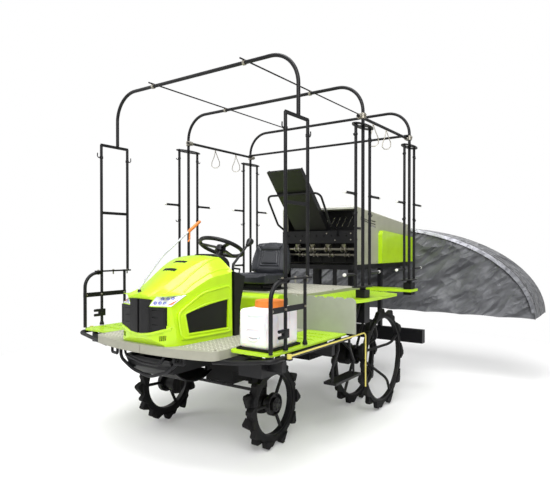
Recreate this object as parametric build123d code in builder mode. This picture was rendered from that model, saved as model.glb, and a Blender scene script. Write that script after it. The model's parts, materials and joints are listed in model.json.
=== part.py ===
"""Ride-on rice seedling broadcaster, in millimetres: +Z up, the nose towards -Y, origin on the ground
under the middle of the machine's outline."""

import os
from math import cos, degrees, pi, radians, sin, tan

from build123d import *

# Running gear
FRONT_AXLE_Y = -1500
WHEELBASE = 1380
REAR_AXLE_Y = FRONT_AXLE_Y + WHEELBASE
TRACK_HALF = 580
FRONT_WHEEL_R = 325
FRONT_LUG_DEPTH = 89
FRONT_RIM_R = FRONT_WHEEL_R - FRONT_LUG_DEPTH
FRONT_WHEEL_WIDTH = 90
FRONT_LUGS = 20
FRONT_SPOKES = 3
REAR_WHEEL_R = 467
REAR_LUG_DEPTH = 75
REAR_RIM_R = REAR_WHEEL_R - REAR_LUG_DEPTH
REAR_RING_WIDTH = 64
REAR_LUGS = 20
REAR_SPOKES = 4
OUTER_RING_X = 870
RIM_WALL = 12
FRONT_TYRE_BODY = 46
REAR_TYRE_BODY = 28
SPOKE_D = 26
SPOKE_START = 57
HUB_HOLES = 4
HUB_HOLE_R = 9
TYRE_GAP = 0.3
KINGPIN_X = 470
KINGPIN_R = 30
STEER_ARM = 110
STUB_R = 24
RUN_GAP = 0.4
SEAT_GAP = 0.3
SIDE_GAP = 8
FRONT_BEAM_Z = 560

# Chassis
RAIL_X = 210
RAIL_HALF = 28
RAIL_LOW = 640
RAIL_TOP = 740
CHASSIS_FRONT = -2200
CHASSIS_REAR = 560
GUARD_HALF = 235
GUARD_REAR_Y = -1800
BATTERY_LOW = (690, -2040, 672)
BATTERY_HIGH = (880, -1870, 762)

# Decks
DECK_TOP = 840
DECK_RIM = 60
DECK_WALL = 6
DECK_HALF = 620
DECK_NOSE_Y = -2290
DECK_CORNER_Y = -2200
RISER_Y = -1050
UPPER_TOP = 1130
UPPER_REAR_Y = -50
UPPER_HALF = 600
RISER_HALF = 1060
RISER_WALL = 14
RISER_INNER = 425
RISER_TOP = 1122
SCALLOPS = 6
SCALLOP_PITCH = 88
SCALLOP_R = 20
STEP_INNER_X = 626
STEP_OUTER_X = 978
STEP_FRONT_Y = -2080
STEP_REAR_Y = -1056
SIDE_TUBE_X = 1000
SIDE_TUBE_D = 30
SIDE_TUBE_Z = 830
SIDE_DECK_OUTER_X = 1090
SIDE_DECK_TOP = 1105

OUTRIGGER_YS = (-1950, -1300)
OUTRIGGER_TOP = DECK_TOP - DECK_RIM - SEAT_GAP
STEP_THICK = 14
MARKER_X = 1036
MARKER_FRONT_Y = -1950
MARKER_REAR_Y = -830
MARKER_Z = 822

# Hood
HOOD_REAR_Y = -1650
HOOD_NOSE_Y = -2290
HOOD_HALF = 315
HOOD_TOP = 1450
HOOD_BOTTOM = DECK_TOP + SEAT_GAP
HOOD_WALL = 6
HOOD_HINGE_Y = HOOD_REAR_Y - 14
HOOD_HINGE_Z = HOOD_TOP - 22
HINGE_PIN_R = 5
HINGE_EAR_X = 84
HINGE_WIDTH = 40
GRILLE_FRONT_Y = -2300

# Overhead frame
TUBE_D = 28
HOOP_TOP = 2886
HOOP_BEND = 235
FRONT_HOOP_Y = -1730
MIDDLE_HOOP_Y = -810
REAR_HOOP_Y = 235
HOOP_X = 1000
FRONT_HOOP_X = 962
RAIL_Z = HOOP_TOP - 286
ROD_X = 490
ROD_D = 12

# Seedling tray racks
RACK_TUBE_D = 25
RACK_TUBE_OFFSET = 130
RACK_TOP = RAIL_Z - 80
RACK_BOTTOM = 1195
FRONT_RACK_TOP = HOOP_TOP - 466
RACK_PLATE = 8
RACK_PLATE_HALF = 165
RACK_PLATE_WAIST = 58
PEG_LENGTH = 200
PEG_D = 22
PEG_COLLAR_R = 16

# Seeding unit behind the raised deck
UNIT_X = 80
UNIT_HALF = 445
UNIT_FRONT_Y = 10
UNIT_REAR_Y = 1500
UNIT_BASE_Z = 1340
UNIT_TOP_FRONT = 1943
UNIT_TOP_REAR = 1800
UNIT_WALL = 10
UNIT_RAIL_X = UNIT_HALF - 25
FEED_BEAM_LOW = 1560
FEED_BEAM_HIGH = 1690
FEED_BEAM_HALF = UNIT_HALF - UNIT_WALL - SEAT_GAP

# Cloth hood
CURTAIN_FRONT_Y = 1510
CURTAIN_REAR_Y = 2300
CURTAIN_HALF = 1950
CURTAIN_BASE = 710
CURTAIN_TOP = 1790
CURTAIN_WALL = 12

os.makedirs("parts", exist_ok=True)


def save(part, name):
    """Label one finished piece and write it under the same name."""
    part.label = name
    export_step(part, f"parts/{name}.step")


def bent_bar(points, bend, diameter):
    """Round bar along a route of straight runs with equal bends between them."""
    with BuildPart() as bar:
        with BuildLine() as route:
            at = Vector(*points[0])
            for before, corner, after in zip(points, points[1:], points[2:]):
                back = (Vector(*before) - Vector(*corner)).normalized()
                ahead = (Vector(*after) - Vector(*corner)).normalized()
                half_angle = radians(back.get_angle(ahead) / 2)
                into = Vector(*corner) + back * (bend / tan(half_angle))
                out = Vector(*corner) + ahead * (bend / tan(half_angle))
                middle = Vector(*corner) + (back + ahead).normalized() * (bend / sin(half_angle) - bend)
                Line(at, into)
                ThreePointArc(into, middle, out)
                at = out
            Line(at, Vector(*points[-1]))
        with BuildSketch(Plane(origin=route.line @ 0, z_dir=route.line % 0)):
            Circle(diameter / 2)
        sweep(path=route.line)
    return bar.part


def box_between(low, high):
    """Block given by its lowest and highest corners."""
    with BuildPart() as block:
        with Locations([((low[0] + high[0]) / 2, (low[1] + high[1]) / 2, (low[2] + high[2]) / 2)]):
            Box(high[0] - low[0], high[1] - low[1], high[2] - low[2])
    return block.part


def cylinder_between(start, end, radius):
    """Round bar or pin from one point to another."""
    return bent_bar([start, end], 0, 2 * radius)


def mirrored(part):
    """The same piece on the other side of the machine."""
    return mirror(part, about=Plane.YZ)


# Wheels: a rim ring on spokes, and a lugged rubber ring bonded round it


def lug_outline(root_r, tip_r, pitch):
    """Side view of one lug: a pointed tooth on a wide root, leaning back."""
    lean = pitch * 0.08
    return [
        (root_r * sin(angle), root_r * cos(angle)) if low else (tip_r * sin(angle), tip_r * cos(angle))
        for angle, low in (
            (-pitch * 0.33, True), (lean - pitch * 0.06, False), (lean + pitch * 0.04, False), (pitch * 0.27, True)
        )
    ]


def wheel_plane_at(x, axle_y, axle_z):
    """Plane across a wheel's axle, seen from the outside."""
    return Plane(origin=(x, axle_y, axle_z), x_dir=(0, 1, 0), z_dir=(1, 0, 0))


def lugged_ring(centre_x, axle_y, axle_z, rim_r, body, tip_r, width, lugs):
    """Rubber ring with lugs that alternate from side to side."""
    pitch = 2 * pi / lugs
    hub_plane = wheel_plane_at(centre_x, axle_y, axle_z)
    with BuildPart() as ring:
        with BuildSketch(hub_plane.offset(-width * 0.32)):
            Circle(rim_r + body)
            Circle(rim_r + TYRE_GAP, mode=Mode.SUBTRACT)
        extrude(amount=width * 0.64)
        for side, shift in ((-width / 2, 0.0), (-width * 0.06, 0.5)):
            with BuildSketch(hub_plane.offset(side)):
                with PolarLocations(0, lugs // 2, start_angle=degrees(pitch) * 2 * shift):
                    Polygon(*lug_outline(rim_r + body - 4, tip_r, pitch * 2), align=None)
            extrude(amount=width * 0.56)
    return ring.part


def rim_ring(centre_x, axle_y, axle_z, rim_r, width):
    """Flat steel ring that the rubber is bonded to."""
    with BuildPart() as ring:
        with BuildSketch(wheel_plane_at(centre_x - width / 2, axle_y, axle_z)):
            Circle(rim_r)
            Circle(rim_r - RIM_WALL, mode=Mode.SUBTRACT)
        extrude(amount=width)
    return ring.part


def spoked_rim(centre_x, axle_y, axle_z, rim_r, width, spokes, hub_r, inner_x, outer_x, bore_r):
    """Rim ring on round spokes, with a lipped hub disc and a barrel between two x values."""
    hub_plane = wheel_plane_at(centre_x, axle_y, axle_z)
    barrel_plane = wheel_plane_at(inner_x, axle_y, axle_z)
    disc_r = hub_r + 34
    with BuildPart() as rim:
        add(rim_ring(centre_x, axle_y, axle_z, rim_r, width))
        with BuildSketch(barrel_plane):
            Circle(hub_r)
        extrude(amount=outer_x - inner_x)
        with BuildSketch(hub_plane.offset(-9)):
            Circle(disc_r)
            with PolarLocations(hub_r + 15, HUB_HOLES, start_angle=SPOKE_START / 4):
                Circle(HUB_HOLE_R, mode=Mode.SUBTRACT)
        extrude(amount=18)
        with BuildSketch(hub_plane.offset(8)):
            Circle(disc_r)
            Circle(disc_r - 7, mode=Mode.SUBTRACT)
        extrude(amount=20)
        for spoke in range(spokes):
            angle = radians(SPOKE_START + 360 * spoke / spokes)
            start, end = (
                (centre_x, axle_y + reach * cos(angle), axle_z + reach * sin(angle)) for reach in (disc_r - 6, rim_r - 6)
            )
            add(cylinder_between(start, end, SPOKE_D / 2))
        with BuildSketch(barrel_plane):
            Circle(bore_r)
        extrude(amount=outer_x - inner_x - 12, mode=Mode.SUBTRACT)
    return rim.part


FRONT_HUB_R = 52
FRONT_HUB_INNER = TRACK_HALF - 55
FRONT_HUB_OUTER = TRACK_HALF + 40
front_tyre = lugged_ring(
    TRACK_HALF, FRONT_AXLE_Y, FRONT_WHEEL_R, FRONT_RIM_R, FRONT_TYRE_BODY, FRONT_WHEEL_R, FRONT_WHEEL_WIDTH, FRONT_LUGS
)
front_rim = spoked_rim(
    TRACK_HALF, FRONT_AXLE_Y, FRONT_WHEEL_R, FRONT_RIM_R, FRONT_WHEEL_WIDTH * 0.5, FRONT_SPOKES, FRONT_HUB_R,
    FRONT_HUB_INNER, FRONT_HUB_OUTER, STUB_R + RUN_GAP,
)

REAR_HUB_R = 58
REAR_SHAFT_R = 30
REAR_HUB_INNER = TRACK_HALF - 50
REAR_HUB_OUTER = TRACK_HALF + 90
ARM_BEND = 110
with BuildPart() as rear_tyre_pair:
    for ring_x in (TRACK_HALF, OUTER_RING_X):
        add(lugged_ring(
            ring_x, REAR_AXLE_Y, REAR_WHEEL_R, REAR_RIM_R, REAR_TYRE_BODY, REAR_WHEEL_R, REAR_RING_WIDTH, REAR_LUGS
        ))

# The outer ring is carried by arms that sweep out from the inner wheel's hub
with BuildPart() as rear_rim_pair:
    add(spoked_rim(
        TRACK_HALF, REAR_AXLE_Y, REAR_WHEEL_R, REAR_RIM_R, REAR_RING_WIDTH * 0.6, REAR_SPOKES, REAR_HUB_R,
        REAR_HUB_INNER, REAR_HUB_OUTER, REAR_SHAFT_R + RUN_GAP,
    ))
    add(rim_ring(OUTER_RING_X, REAR_AXLE_Y, REAR_WHEEL_R, REAR_RIM_R, REAR_RING_WIDTH * 0.6))
    for arm in range(REAR_SPOKES):
        angle = radians(SPOKE_START - 30 + 360 * arm / REAR_SPOKES)
        add(bent_bar(
            [
                (x, REAR_AXLE_Y + reach * cos(angle), REAR_WHEEL_R + reach * sin(angle))
                for x, reach in (
                    (REAR_HUB_OUTER - 30, REAR_HUB_R - 12), (OUTER_RING_X, REAR_RIM_R * 0.62), (OUTER_RING_X, REAR_RIM_R - 6)
                )
            ],
            ARM_BEND, SPOKE_D,
        ))

for side, turn in (("left", lambda piece: piece), ("right", mirrored)):
    save(turn(front_tyre), f"front_tyre_{side}")
    save(turn(front_rim), f"front_rim_{side}")
    save(turn(rear_tyre_pair.part), f"rear_tyres_{side}")
    save(turn(rear_rim_pair.part), f"rear_rims_{side}")

# Steering knuckles: a bevel case under the kingpin, with the wheel's stub shaft and the steering arm
KNUCKLE_TOP = 432
STUB_END = FRONT_HUB_OUTER - 12 - SIDE_GAP
ARM_PIN_X = KINGPIN_X
ARM_PIN_Y = FRONT_AXLE_Y - STEER_ARM
with BuildPart() as knuckle:
    with BuildSketch(Plane.XY.offset(245)):
        with Locations((KINGPIN_X, FRONT_AXLE_Y)):
            Circle(44)
    extrude(amount=KNUCKLE_TOP - 245)
    with BuildSketch(Plane(origin=(KINGPIN_X - 36, FRONT_AXLE_Y, FRONT_WHEEL_R), z_dir=(1, 0, 0))):
        Circle(72)
    extrude(amount=FRONT_HUB_INNER - SIDE_GAP - KINGPIN_X + 36, taper=8)
    add(cylinder_between(
        (KINGPIN_X, FRONT_AXLE_Y, FRONT_WHEEL_R), (STUB_END, FRONT_AXLE_Y, FRONT_WHEEL_R), STUB_R
    ))
    add(box_between((ARM_PIN_X - 16, ARM_PIN_Y - 16, KNUCKLE_TOP - 22), (ARM_PIN_X + 16, FRONT_AXLE_Y, KNUCKLE_TOP - 6)))
    add(cylinder_between((ARM_PIN_X, ARM_PIN_Y, KNUCKLE_TOP - 14), (ARM_PIN_X, ARM_PIN_Y, KNUCKLE_TOP + 24), 8))
    with BuildSketch(Plane.XY.offset(KNUCKLE_TOP - 90)):
        with Locations((KINGPIN_X, FRONT_AXLE_Y)):
            Circle(KINGPIN_R - 8 + RUN_GAP)
    extrude(amount=90, mode=Mode.SUBTRACT)
save(knuckle.part, "knuckle_left")
save(mirrored(knuckle.part), "knuckle_right")

ROD_LOW = KNUCKLE_TOP + 1
with BuildPart() as tie_rod:
    add(box_between((-ARM_PIN_X, ARM_PIN_Y - 9, ROD_LOW), (ARM_PIN_X, ARM_PIN_Y + 9, ROD_LOW + 18)))
    with BuildSketch(Plane.XY.offset(ROD_LOW)):
        with Locations((ARM_PIN_X, ARM_PIN_Y), (-ARM_PIN_X, ARM_PIN_Y)):
            Circle(18)
    extrude(amount=18)
    with BuildSketch(Plane.XY.offset(ROD_LOW)):
        with Locations((ARM_PIN_X, ARM_PIN_Y), (-ARM_PIN_X, ARM_PIN_Y)):
            Circle(8 + RUN_GAP)
    extrude(amount=18, mode=Mode.SUBTRACT)
save(tie_rod.part, "tie_rod")

# Front axle: an arched beam with drop legs whose kingpins stand in the knuckles
with BuildPart() as front_axle:
    with BuildSketch(Plane.XZ.offset(-FRONT_AXLE_Y)):
        with BuildLine():
            Polyline(
                (-KINGPIN_X - 34, KNUCKLE_TOP + 3), (-KINGPIN_X - 34, 590), (-380, FRONT_BEAM_Z + 60),
                (380, FRONT_BEAM_Z + 60), (KINGPIN_X + 34, 590), (KINGPIN_X + 34, KNUCKLE_TOP + 3),
                (KINGPIN_X - 34, KNUCKLE_TOP + 3), (KINGPIN_X - 50, 530), (-KINGPIN_X + 50, 530),
                (-KINGPIN_X + 34, KNUCKLE_TOP + 3), close=True,
            )
        make_face()
    extrude(amount=34, both=True)
    for side in (-1, 1):
        add(box_between(
            (side * RAIL_X - RAIL_HALF, FRONT_AXLE_Y - 34, FRONT_BEAM_Z + 40),
            (side * RAIL_X + RAIL_HALF, FRONT_AXLE_Y + 34, RAIL_LOW - SEAT_GAP),
        ))
        add(cylinder_between(
            (side * KINGPIN_X, FRONT_AXLE_Y, KNUCKLE_TOP - 80), (side * KINGPIN_X, FRONT_AXLE_Y, KNUCKLE_TOP + 20),
            KINGPIN_R - 8,
        ))
save(front_axle.part, "front_axle")

# Rear axle: a centre case with tapered trumpets and a drop case inboard of each wheel
CASE_X = TRACK_HALF - 50 - SIDE_GAP
with BuildPart() as rear_axle:
    add(box_between((-150, REAR_AXLE_Y - 150, 380), (150, REAR_AXLE_Y + 130, 640)))
    add(cylinder_between((-CASE_X, REAR_AXLE_Y, REAR_WHEEL_R), (CASE_X, REAR_AXLE_Y, REAR_WHEEL_R), 58))
    for side in (-1, 1):
        add(box_between(
            (side * RAIL_X - RAIL_HALF, REAR_AXLE_Y - 60, REAR_WHEEL_R),
            (side * RAIL_X + RAIL_HALF, REAR_AXLE_Y + 60, RAIL_LOW - SEAT_GAP),
        ))
        add(cylinder_between(
            (side * (CASE_X - 90), REAR_AXLE_Y, REAR_WHEEL_R), (side * CASE_X, REAR_AXLE_Y, REAR_WHEEL_R), 105
        ))
        add(cylinder_between(
            (side * CASE_X, REAR_AXLE_Y, REAR_WHEEL_R),
            (side * (REAR_HUB_OUTER - 12 - SIDE_GAP), REAR_AXLE_Y, REAR_WHEEL_R), REAR_SHAFT_R,
        ))
save(rear_axle.part, "rear_axle")

# Chassis: two rails from the nose to the seeding unit's hitch, with cross members and deck legs
with BuildPart() as chassis_frame:
    for side in (-1, 1):
        add(box_between(
            (side * RAIL_X - RAIL_HALF, CHASSIS_FRONT, RAIL_LOW), (side * RAIL_X + RAIL_HALF, CHASSIS_REAR, RAIL_TOP)
        ))
        for post_y in (-760, -120):
            add(box_between(
                (side * RAIL_X - 25, post_y - 25, RAIL_TOP - 5), (side * RAIL_X + 25, post_y + 25, UPPER_TOP - 6 - SEAT_GAP)
            ))
    for cross_y in (CHASSIS_FRONT + 30, -1400, -1110, CHASSIS_REAR - 30):
        add(box_between((-RAIL_X, cross_y - 30, RAIL_LOW + 20), (RAIL_X, cross_y + 30, RAIL_TOP - 10)))
    for bearer_y in (-2060, -1780):
        add(box_between((-RAIL_X, bearer_y - 25, RAIL_TOP - 40), (RAIL_X, bearer_y + 25, RAIL_TOP)))
    for cross_y in OUTRIGGER_YS:
        for side in (-1, 1):
            near, far = sorted((side * RAIL_X, side * (SIDE_TUBE_X - 5)))
            add(box_between((near, cross_y - 22, RAIL_TOP - 30), (far, cross_y + 22, OUTRIGGER_TOP)))
            near, far = sorted((side * 860, side * 900))
            add(box_between((near, cross_y - 22, OUTRIGGER_TOP), (far, cross_y + 22, DECK_TOP - STEP_THICK - SEAT_GAP)))
    with BuildSketch(Plane.YZ.offset(-GUARD_HALF)):
        with BuildLine():
            ThreePointArc((CHASSIS_FRONT - 30, RAIL_TOP), (CHASSIS_FRONT + 40, RAIL_LOW - 10), (GUARD_REAR_Y, RAIL_LOW - 44))
            Line((GUARD_REAR_Y, RAIL_LOW - 44), (GUARD_REAR_Y, RAIL_LOW - 38))
            ThreePointArc(
                (GUARD_REAR_Y, RAIL_LOW - 38), (CHASSIS_FRONT + 45, RAIL_LOW - 4), (CHASSIS_FRONT - 24, RAIL_TOP)
            )
            Line((CHASSIS_FRONT - 24, RAIL_TOP), (CHASSIS_FRONT - 30, RAIL_TOP))
        make_face()
    extrude(amount=2 * GUARD_HALF)
    for side in (-1, 1):
        add(box_between(
            (side * RAIL_X - RAIL_HALF, CHASSIS_FRONT - 24, RAIL_TOP - 20), (side * RAIL_X + RAIL_HALF, CHASSIS_FRONT, RAIL_TOP)
        ))
        add(box_between(
            (side * RAIL_X - 12, GUARD_REAR_Y - 40, RAIL_LOW - 42), (side * RAIL_X + 12, GUARD_REAR_Y - 10, RAIL_LOW + 10)
        ))
    add(box_between(BATTERY_LOW, BATTERY_HIGH))
save(chassis_frame.part, "chassis_frame")

# Engine and gearbox as plain masses at their real places
with BuildPart() as engine_and_gearbox:
    add(box_between((-165, -2120, RAIL_TOP + SEAT_GAP), (165, -1720, 1150)))
    add(box_between((-150, -1455, 400), (150, -1060, RAIL_LOW + 20 - SEAT_GAP)))
save(engine_and_gearbox.part, "engine_and_gearbox")

# Front deck: a pressed tray with a deep rim, open over the engine


def deck_outline(inset):
    """Plan of the front deck: a bowed nose, round corners and straight sides."""
    half = DECK_HALF - inset
    nose = DECK_NOSE_Y + inset
    corner = DECK_CORNER_Y + inset
    with BuildSketch() as outline:
        with BuildLine():
            ThreePointArc((-half, corner), (0, nose), (half, corner))
            Polyline((half, corner), (half, RISER_Y - RISER_WALL), (-half, RISER_Y - RISER_WALL), (-half, corner))
        make_face()
        fillet(outline.vertices().group_by(Axis.Y)[0], 70)
    return outline.sketch


with BuildPart() as front_deck:
    with BuildSketch(Plane.XY.offset(DECK_TOP - DECK_RIM)):
        add(deck_outline(0))
    extrude(amount=DECK_RIM)
    with BuildSketch(Plane.XY.offset(DECK_TOP - DECK_RIM)):
        add(deck_outline(DECK_WALL))
    extrude(amount=DECK_RIM - DECK_WALL, mode=Mode.SUBTRACT)
    with BuildSketch(Plane.XY.offset(DECK_TOP - DECK_WALL)):
        with Locations((0, -1920)):
            Rectangle(400, 480)
    extrude(amount=DECK_WALL, mode=Mode.SUBTRACT)
    for side in (-1, 1):
        add(bent_bar(
            [
                (side * 300, -2245, DECK_TOP - 4), (side * 300, -2245, 735),
                (side * 380, -2230, 735), (side * 380, -2230, DECK_TOP - 4),
            ],
            18, 12,
        ))
save(front_deck.part, "front_deck")

# Side steps with slots across them, and the tube that runs round them
with BuildPart() as side_steps:
    for side in (-1, 1):
        with BuildSketch(Plane.XY.offset(DECK_TOP - STEP_THICK)) as step_plan:
            with Locations((side * (STEP_INNER_X + STEP_OUTER_X) / 2, (STEP_FRONT_Y + STEP_REAR_Y) / 2)):
                Rectangle(STEP_OUTER_X - STEP_INNER_X, STEP_REAR_Y - STEP_FRONT_Y)
        extrude(amount=STEP_THICK)
    fillet(side_steps.edges().filter_by(Axis.Z).group_by(Axis.Y)[0], 60)
    with BuildSketch(Plane.XY.offset(DECK_TOP - STEP_THICK)):
        for side in (-1, 1):
            with Locations((side * (STEP_INNER_X + STEP_OUTER_X) / 2, (STEP_FRONT_Y + STEP_REAR_Y) / 2)):
                with GridLocations(0, 120, 1, 7):
                    SlotOverall(230, 26)
    extrude(amount=14, mode=Mode.SUBTRACT)
save(side_steps.part, "side_steps")

with BuildPart() as side_tubes:
    for side in (-1, 1):
        add(bent_bar(
            [
                (side * 560, -2150, DECK_TOP - DECK_RIM - 18), (side * 700, -2120, DECK_TOP - DECK_RIM - 12),
                (side * SIDE_TUBE_X, -2090, SIDE_TUBE_Z - 24),
                (side * SIDE_TUBE_X, -1020, SIDE_TUBE_Z - 24), (side * SIDE_TUBE_X, -885, 1055),
            ],
            60, SIDE_TUBE_D,
        ))
        for arm_y in OUTRIGGER_YS:
            near, far = sorted((side * (SIDE_TUBE_X - 30), side * SIDE_TUBE_X))
            add(box_between((near, arm_y - 18, OUTRIGGER_TOP + SEAT_GAP), (far, arm_y + 18, SIDE_TUBE_Z - 14)))
        near, far = sorted((side * SIDE_TUBE_X, side * (MARKER_X + 16)))
        add(box_between((near, MARKER_FRONT_Y - 16, MARKER_Z - 24), (far, MARKER_FRONT_Y + 16, MARKER_Z - 14 - SEAT_GAP)))
save(side_tubes.part, "side_tubes")

# Riser: the grey step-up panel with rolled outer corners
with BuildPart() as riser_panel:
    with BuildSketch(Plane.XZ.offset(-RISER_Y)):
        for side in (-1, 1):
            with Locations((side * (RISER_HALF + RISER_INNER) / 2, (DECK_TOP + SEAT_GAP + RISER_TOP) / 2)):
                Rectangle(RISER_HALF - RISER_INNER, RISER_TOP - DECK_TOP - SEAT_GAP)
    extrude(amount=RISER_WALL)
    fillet(riser_panel.edges().filter_by(Axis.Y).group_by(Axis.Z)[-1], 40)
    with BuildSketch(Plane.XZ.offset(-RISER_Y)):
        for side in (-1, 1):
            with Locations((side * (RISER_HALF + RISER_INNER) / 2, RISER_TOP + 8)):
                with GridLocations(SCALLOP_PITCH, 0, SCALLOPS, 1):
                    Circle(SCALLOP_R)
    extrude(amount=RISER_WALL, mode=Mode.SUBTRACT)
save(riser_panel.part, "riser_panel")

# Raised deck, with the lime wings at its sides and the driver's plinth in front
with BuildPart() as upper_deck:
    with BuildSketch(Plane.XY.offset(UPPER_TOP - 44)):
        with Locations((0, (RISER_Y + SEAT_GAP + UPPER_REAR_Y) / 2)):
            Rectangle(2 * UPPER_HALF, UPPER_REAR_Y - RISER_Y - SEAT_GAP)
    extrude(amount=44)
    with BuildSketch(Plane.XY.offset(UPPER_TOP - 44)):
        with Locations((0, (RISER_Y + SEAT_GAP + UPPER_REAR_Y) / 2)):
            Rectangle(2 * UPPER_HALF - 12, UPPER_REAR_Y - RISER_Y - 12 - SEAT_GAP)
    extrude(amount=38, mode=Mode.SUBTRACT)
save(upper_deck.part, "upper_deck")

with BuildPart() as side_decks:
    for side in (-1, 1):
        with BuildSketch(Plane.XY.offset(SIDE_DECK_TOP - 24)):
            with BuildLine():
                Polyline(
                    (side * (UPPER_HALF + SEAT_GAP), RISER_Y + SEAT_GAP), (side * RISER_HALF, RISER_Y + SEAT_GAP),
                    (side * SIDE_DECK_OUTER_X, RISER_Y + 160), (side * SIDE_DECK_OUTER_X, -300),
                    (side * 640, -110), (side * 640, 110), (side * 1055, 150), (side * 1055, 330),
                    (side * 575, 330), (side * 575, UPPER_REAR_Y + SEAT_GAP), (side * (UPPER_HALF + SEAT_GAP), UPPER_REAR_Y + SEAT_GAP),
                    close=True,
                )
            make_face()
            with Locations((side * HOOP_X, MIDDLE_HOOP_Y), (side * HOOP_X, REAR_HOOP_Y)):
                Rectangle(80 + 2 * SEAT_GAP, 100 + 2 * SEAT_GAP, mode=Mode.SUBTRACT)
        extrude(amount=24)
save(side_decks.part, "side_decks")

PLINTH_HALF = 400
with BuildPart() as seat_plinth:
    add(box_between((-PLINTH_HALF, RISER_Y - 140, DECK_TOP + SEAT_GAP), (PLINTH_HALF, RISER_Y, UPPER_TOP - 12)))
    fillet(seat_plinth.edges().filter_by(Axis.X).group_by(Axis.Z)[-1].sort_by(Axis.Y)[0], 50)
save(seat_plinth.part, "seat_plinth")

# Driver's seat: cushion and back as plain pads on a mount
SEAT_HALF = 205
SEAT_BASE = 1180
with BuildPart() as seat:
    with BuildSketch(Plane.YZ.offset(-SEAT_HALF)):
        with BuildLine():
            Polyline(
                (-1100, SEAT_BASE), (-660, SEAT_BASE), (-630, 1300), (-600, 1570), (-680, 1580),
                (-740, 1290), (-1090, 1275), close=True,
            )
        make_face()
    extrude(amount=2 * SEAT_HALF)
    fillet(seat.edges().filter_by(Plane.YZ), 22)
save(seat.part, "driver_seat")
with BuildPart() as seat_mount:
    add(box_between((-170, -1040, UPPER_TOP + SEAT_GAP), (170, -690, UPPER_TOP + 16)))
    add(box_between((-120, -1010, UPPER_TOP + 10), (120, -720, SEAT_BASE - SEAT_GAP)))
save(seat_mount.part, "seat_mount")

# Console behind the hood: a full-width panel, a raised cowl, the steering column and the gear lever
STEER_TOP = Vector(0, -1430, 1520)
COLUMN_FOOT = Vector(0, HOOD_REAR_Y + 110, 1280)
COLUMN_AXIS = (STEER_TOP - COLUMN_FOOT).normalized()
STEER_HUB = 36
CONSOLE_HALF = 322
CONSOLE_FRONT_Y = HOOD_REAR_Y + 8
COWL_OUTLINE = ((190, 1300), (176, 1400), (140, 1446), (92, 1466))
with BuildPart() as console:
    with BuildSketch(Plane.YZ.offset(-CONSOLE_HALF)):
        with BuildLine():
            Polyline(
                (CONSOLE_FRONT_Y, HOOD_BOTTOM), (HOOD_REAR_Y + 66, HOOD_BOTTOM), (HOOD_REAR_Y + 78, 1060),
                (HOOD_REAR_Y + 136, 1292), (CONSOLE_FRONT_Y, 1334), (CONSOLE_FRONT_Y, HOOD_BOTTOM),
            )
        make_face()
    extrude(amount=2 * CONSOLE_HALF)
    with BuildSketch(Plane.XZ.offset(-HOOD_REAR_Y - 118)):
        Polygon(*[(-x, z) for x, z in COWL_OUTLINE], *reversed(COWL_OUTLINE), align=None)
    extrude(amount=98)
    chamfer(console.edges().filter_by(Axis.X).group_by(Axis.Z)[-1].sort_by(Axis.Y)[-1], 40)
    add(cylinder_between(COLUMN_FOOT, STEER_TOP - COLUMN_AXIS * (STEER_HUB + SEAT_GAP), 30))
    for side in (-1, 1):
        ear = Plane(origin=(side * HINGE_EAR_X, HOOD_HINGE_Y, HOOD_HINGE_Z), x_dir=(0, 1, 0), z_dir=(side, 0, 0))
        near, far = sorted((side * HINGE_EAR_X, side * (HINGE_EAR_X + 8)))
        add(box_between((near, HOOD_HINGE_Y - 8, HOOD_HINGE_Z - 40), (far, HOOD_REAR_Y + 30, HOOD_HINGE_Z - 20)))
        add(box_between((near, HOOD_HINGE_Y - 8, HOOD_HINGE_Z - 21), (far, HOOD_HINGE_Y + 8, HOOD_HINGE_Z)))
        with BuildSketch(ear):
            Circle(8)
        extrude(amount=8)
        with BuildSketch(ear):
            Circle(HINGE_PIN_R)
        extrude(amount=12 + HINGE_WIDTH)
    add(bent_bar([(252, -1585, 1280), (252, -1575, 1385), (252, -1368, 1560)], 30, 12))
    with Locations((252, -1362, 1565)):
        Sphere(21)
    add(cylinder_between((292, -1560, 1290), (292, -1540, 1352), 5))
    add(cylinder_between((292, -1540, 1348), (230, -1530, 1352), 7))
save(console.part, "console")

wheel_plane = Plane(origin=STEER_TOP, x_dir=(1, 0, 0), z_dir=COLUMN_AXIS)
WHEEL_R = 180
with BuildPart() as steering_wheel:
    with BuildSketch(Plane(origin=wheel_plane.origin + wheel_plane.x_dir * WHEEL_R, x_dir=wheel_plane.z_dir,
                           z_dir=wheel_plane.y_dir)):
        Circle(14)
    revolve(axis=Axis(wheel_plane.origin, wheel_plane.z_dir), revolution_arc=360)
    with BuildSketch(wheel_plane.offset(-STEER_HUB)):
        Circle(46)
    extrude(amount=46, taper=10)
    with BuildSketch(wheel_plane.offset(-14)):
        with PolarLocations(0, 3, start_angle=90):
            with Locations((WHEEL_R / 2, 0)):
                Rectangle(WHEEL_R - 8, 30)
    extrude(amount=12)
save(steering_wheel.part, "steering_wheel")

# Hood: cross sections lofted along the bonnet, then trimmed by the nose's plan and the raked chin
HOOD_SECTIONS = (
    # ahead of the rear edge, insets from HOOD_HALF (foot, shoulder, ridge), drops from HOOD_TOP (shoulder, ridge, crown)
    (0, 0, 7, 129, 110, 14, 0),
    (150, 9, 18, 145, 142, 22, 4),
    (286, 19, 35, 167, 182, 76, 56),
    (427, 31, 60, 197, 252, 158, 138),
    (560, 43, 75, 219, 269, 240, 218),
    (690, 53, 85, 231, 281, 276, 272),
)
NOSE_PLAN = ((0, 0), (110, 7), (215, 32), (266, 96), (340, 320))
CHIN_RAKE = ((38, 0), (8, 45), (0, 90), (0, 700))


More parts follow.
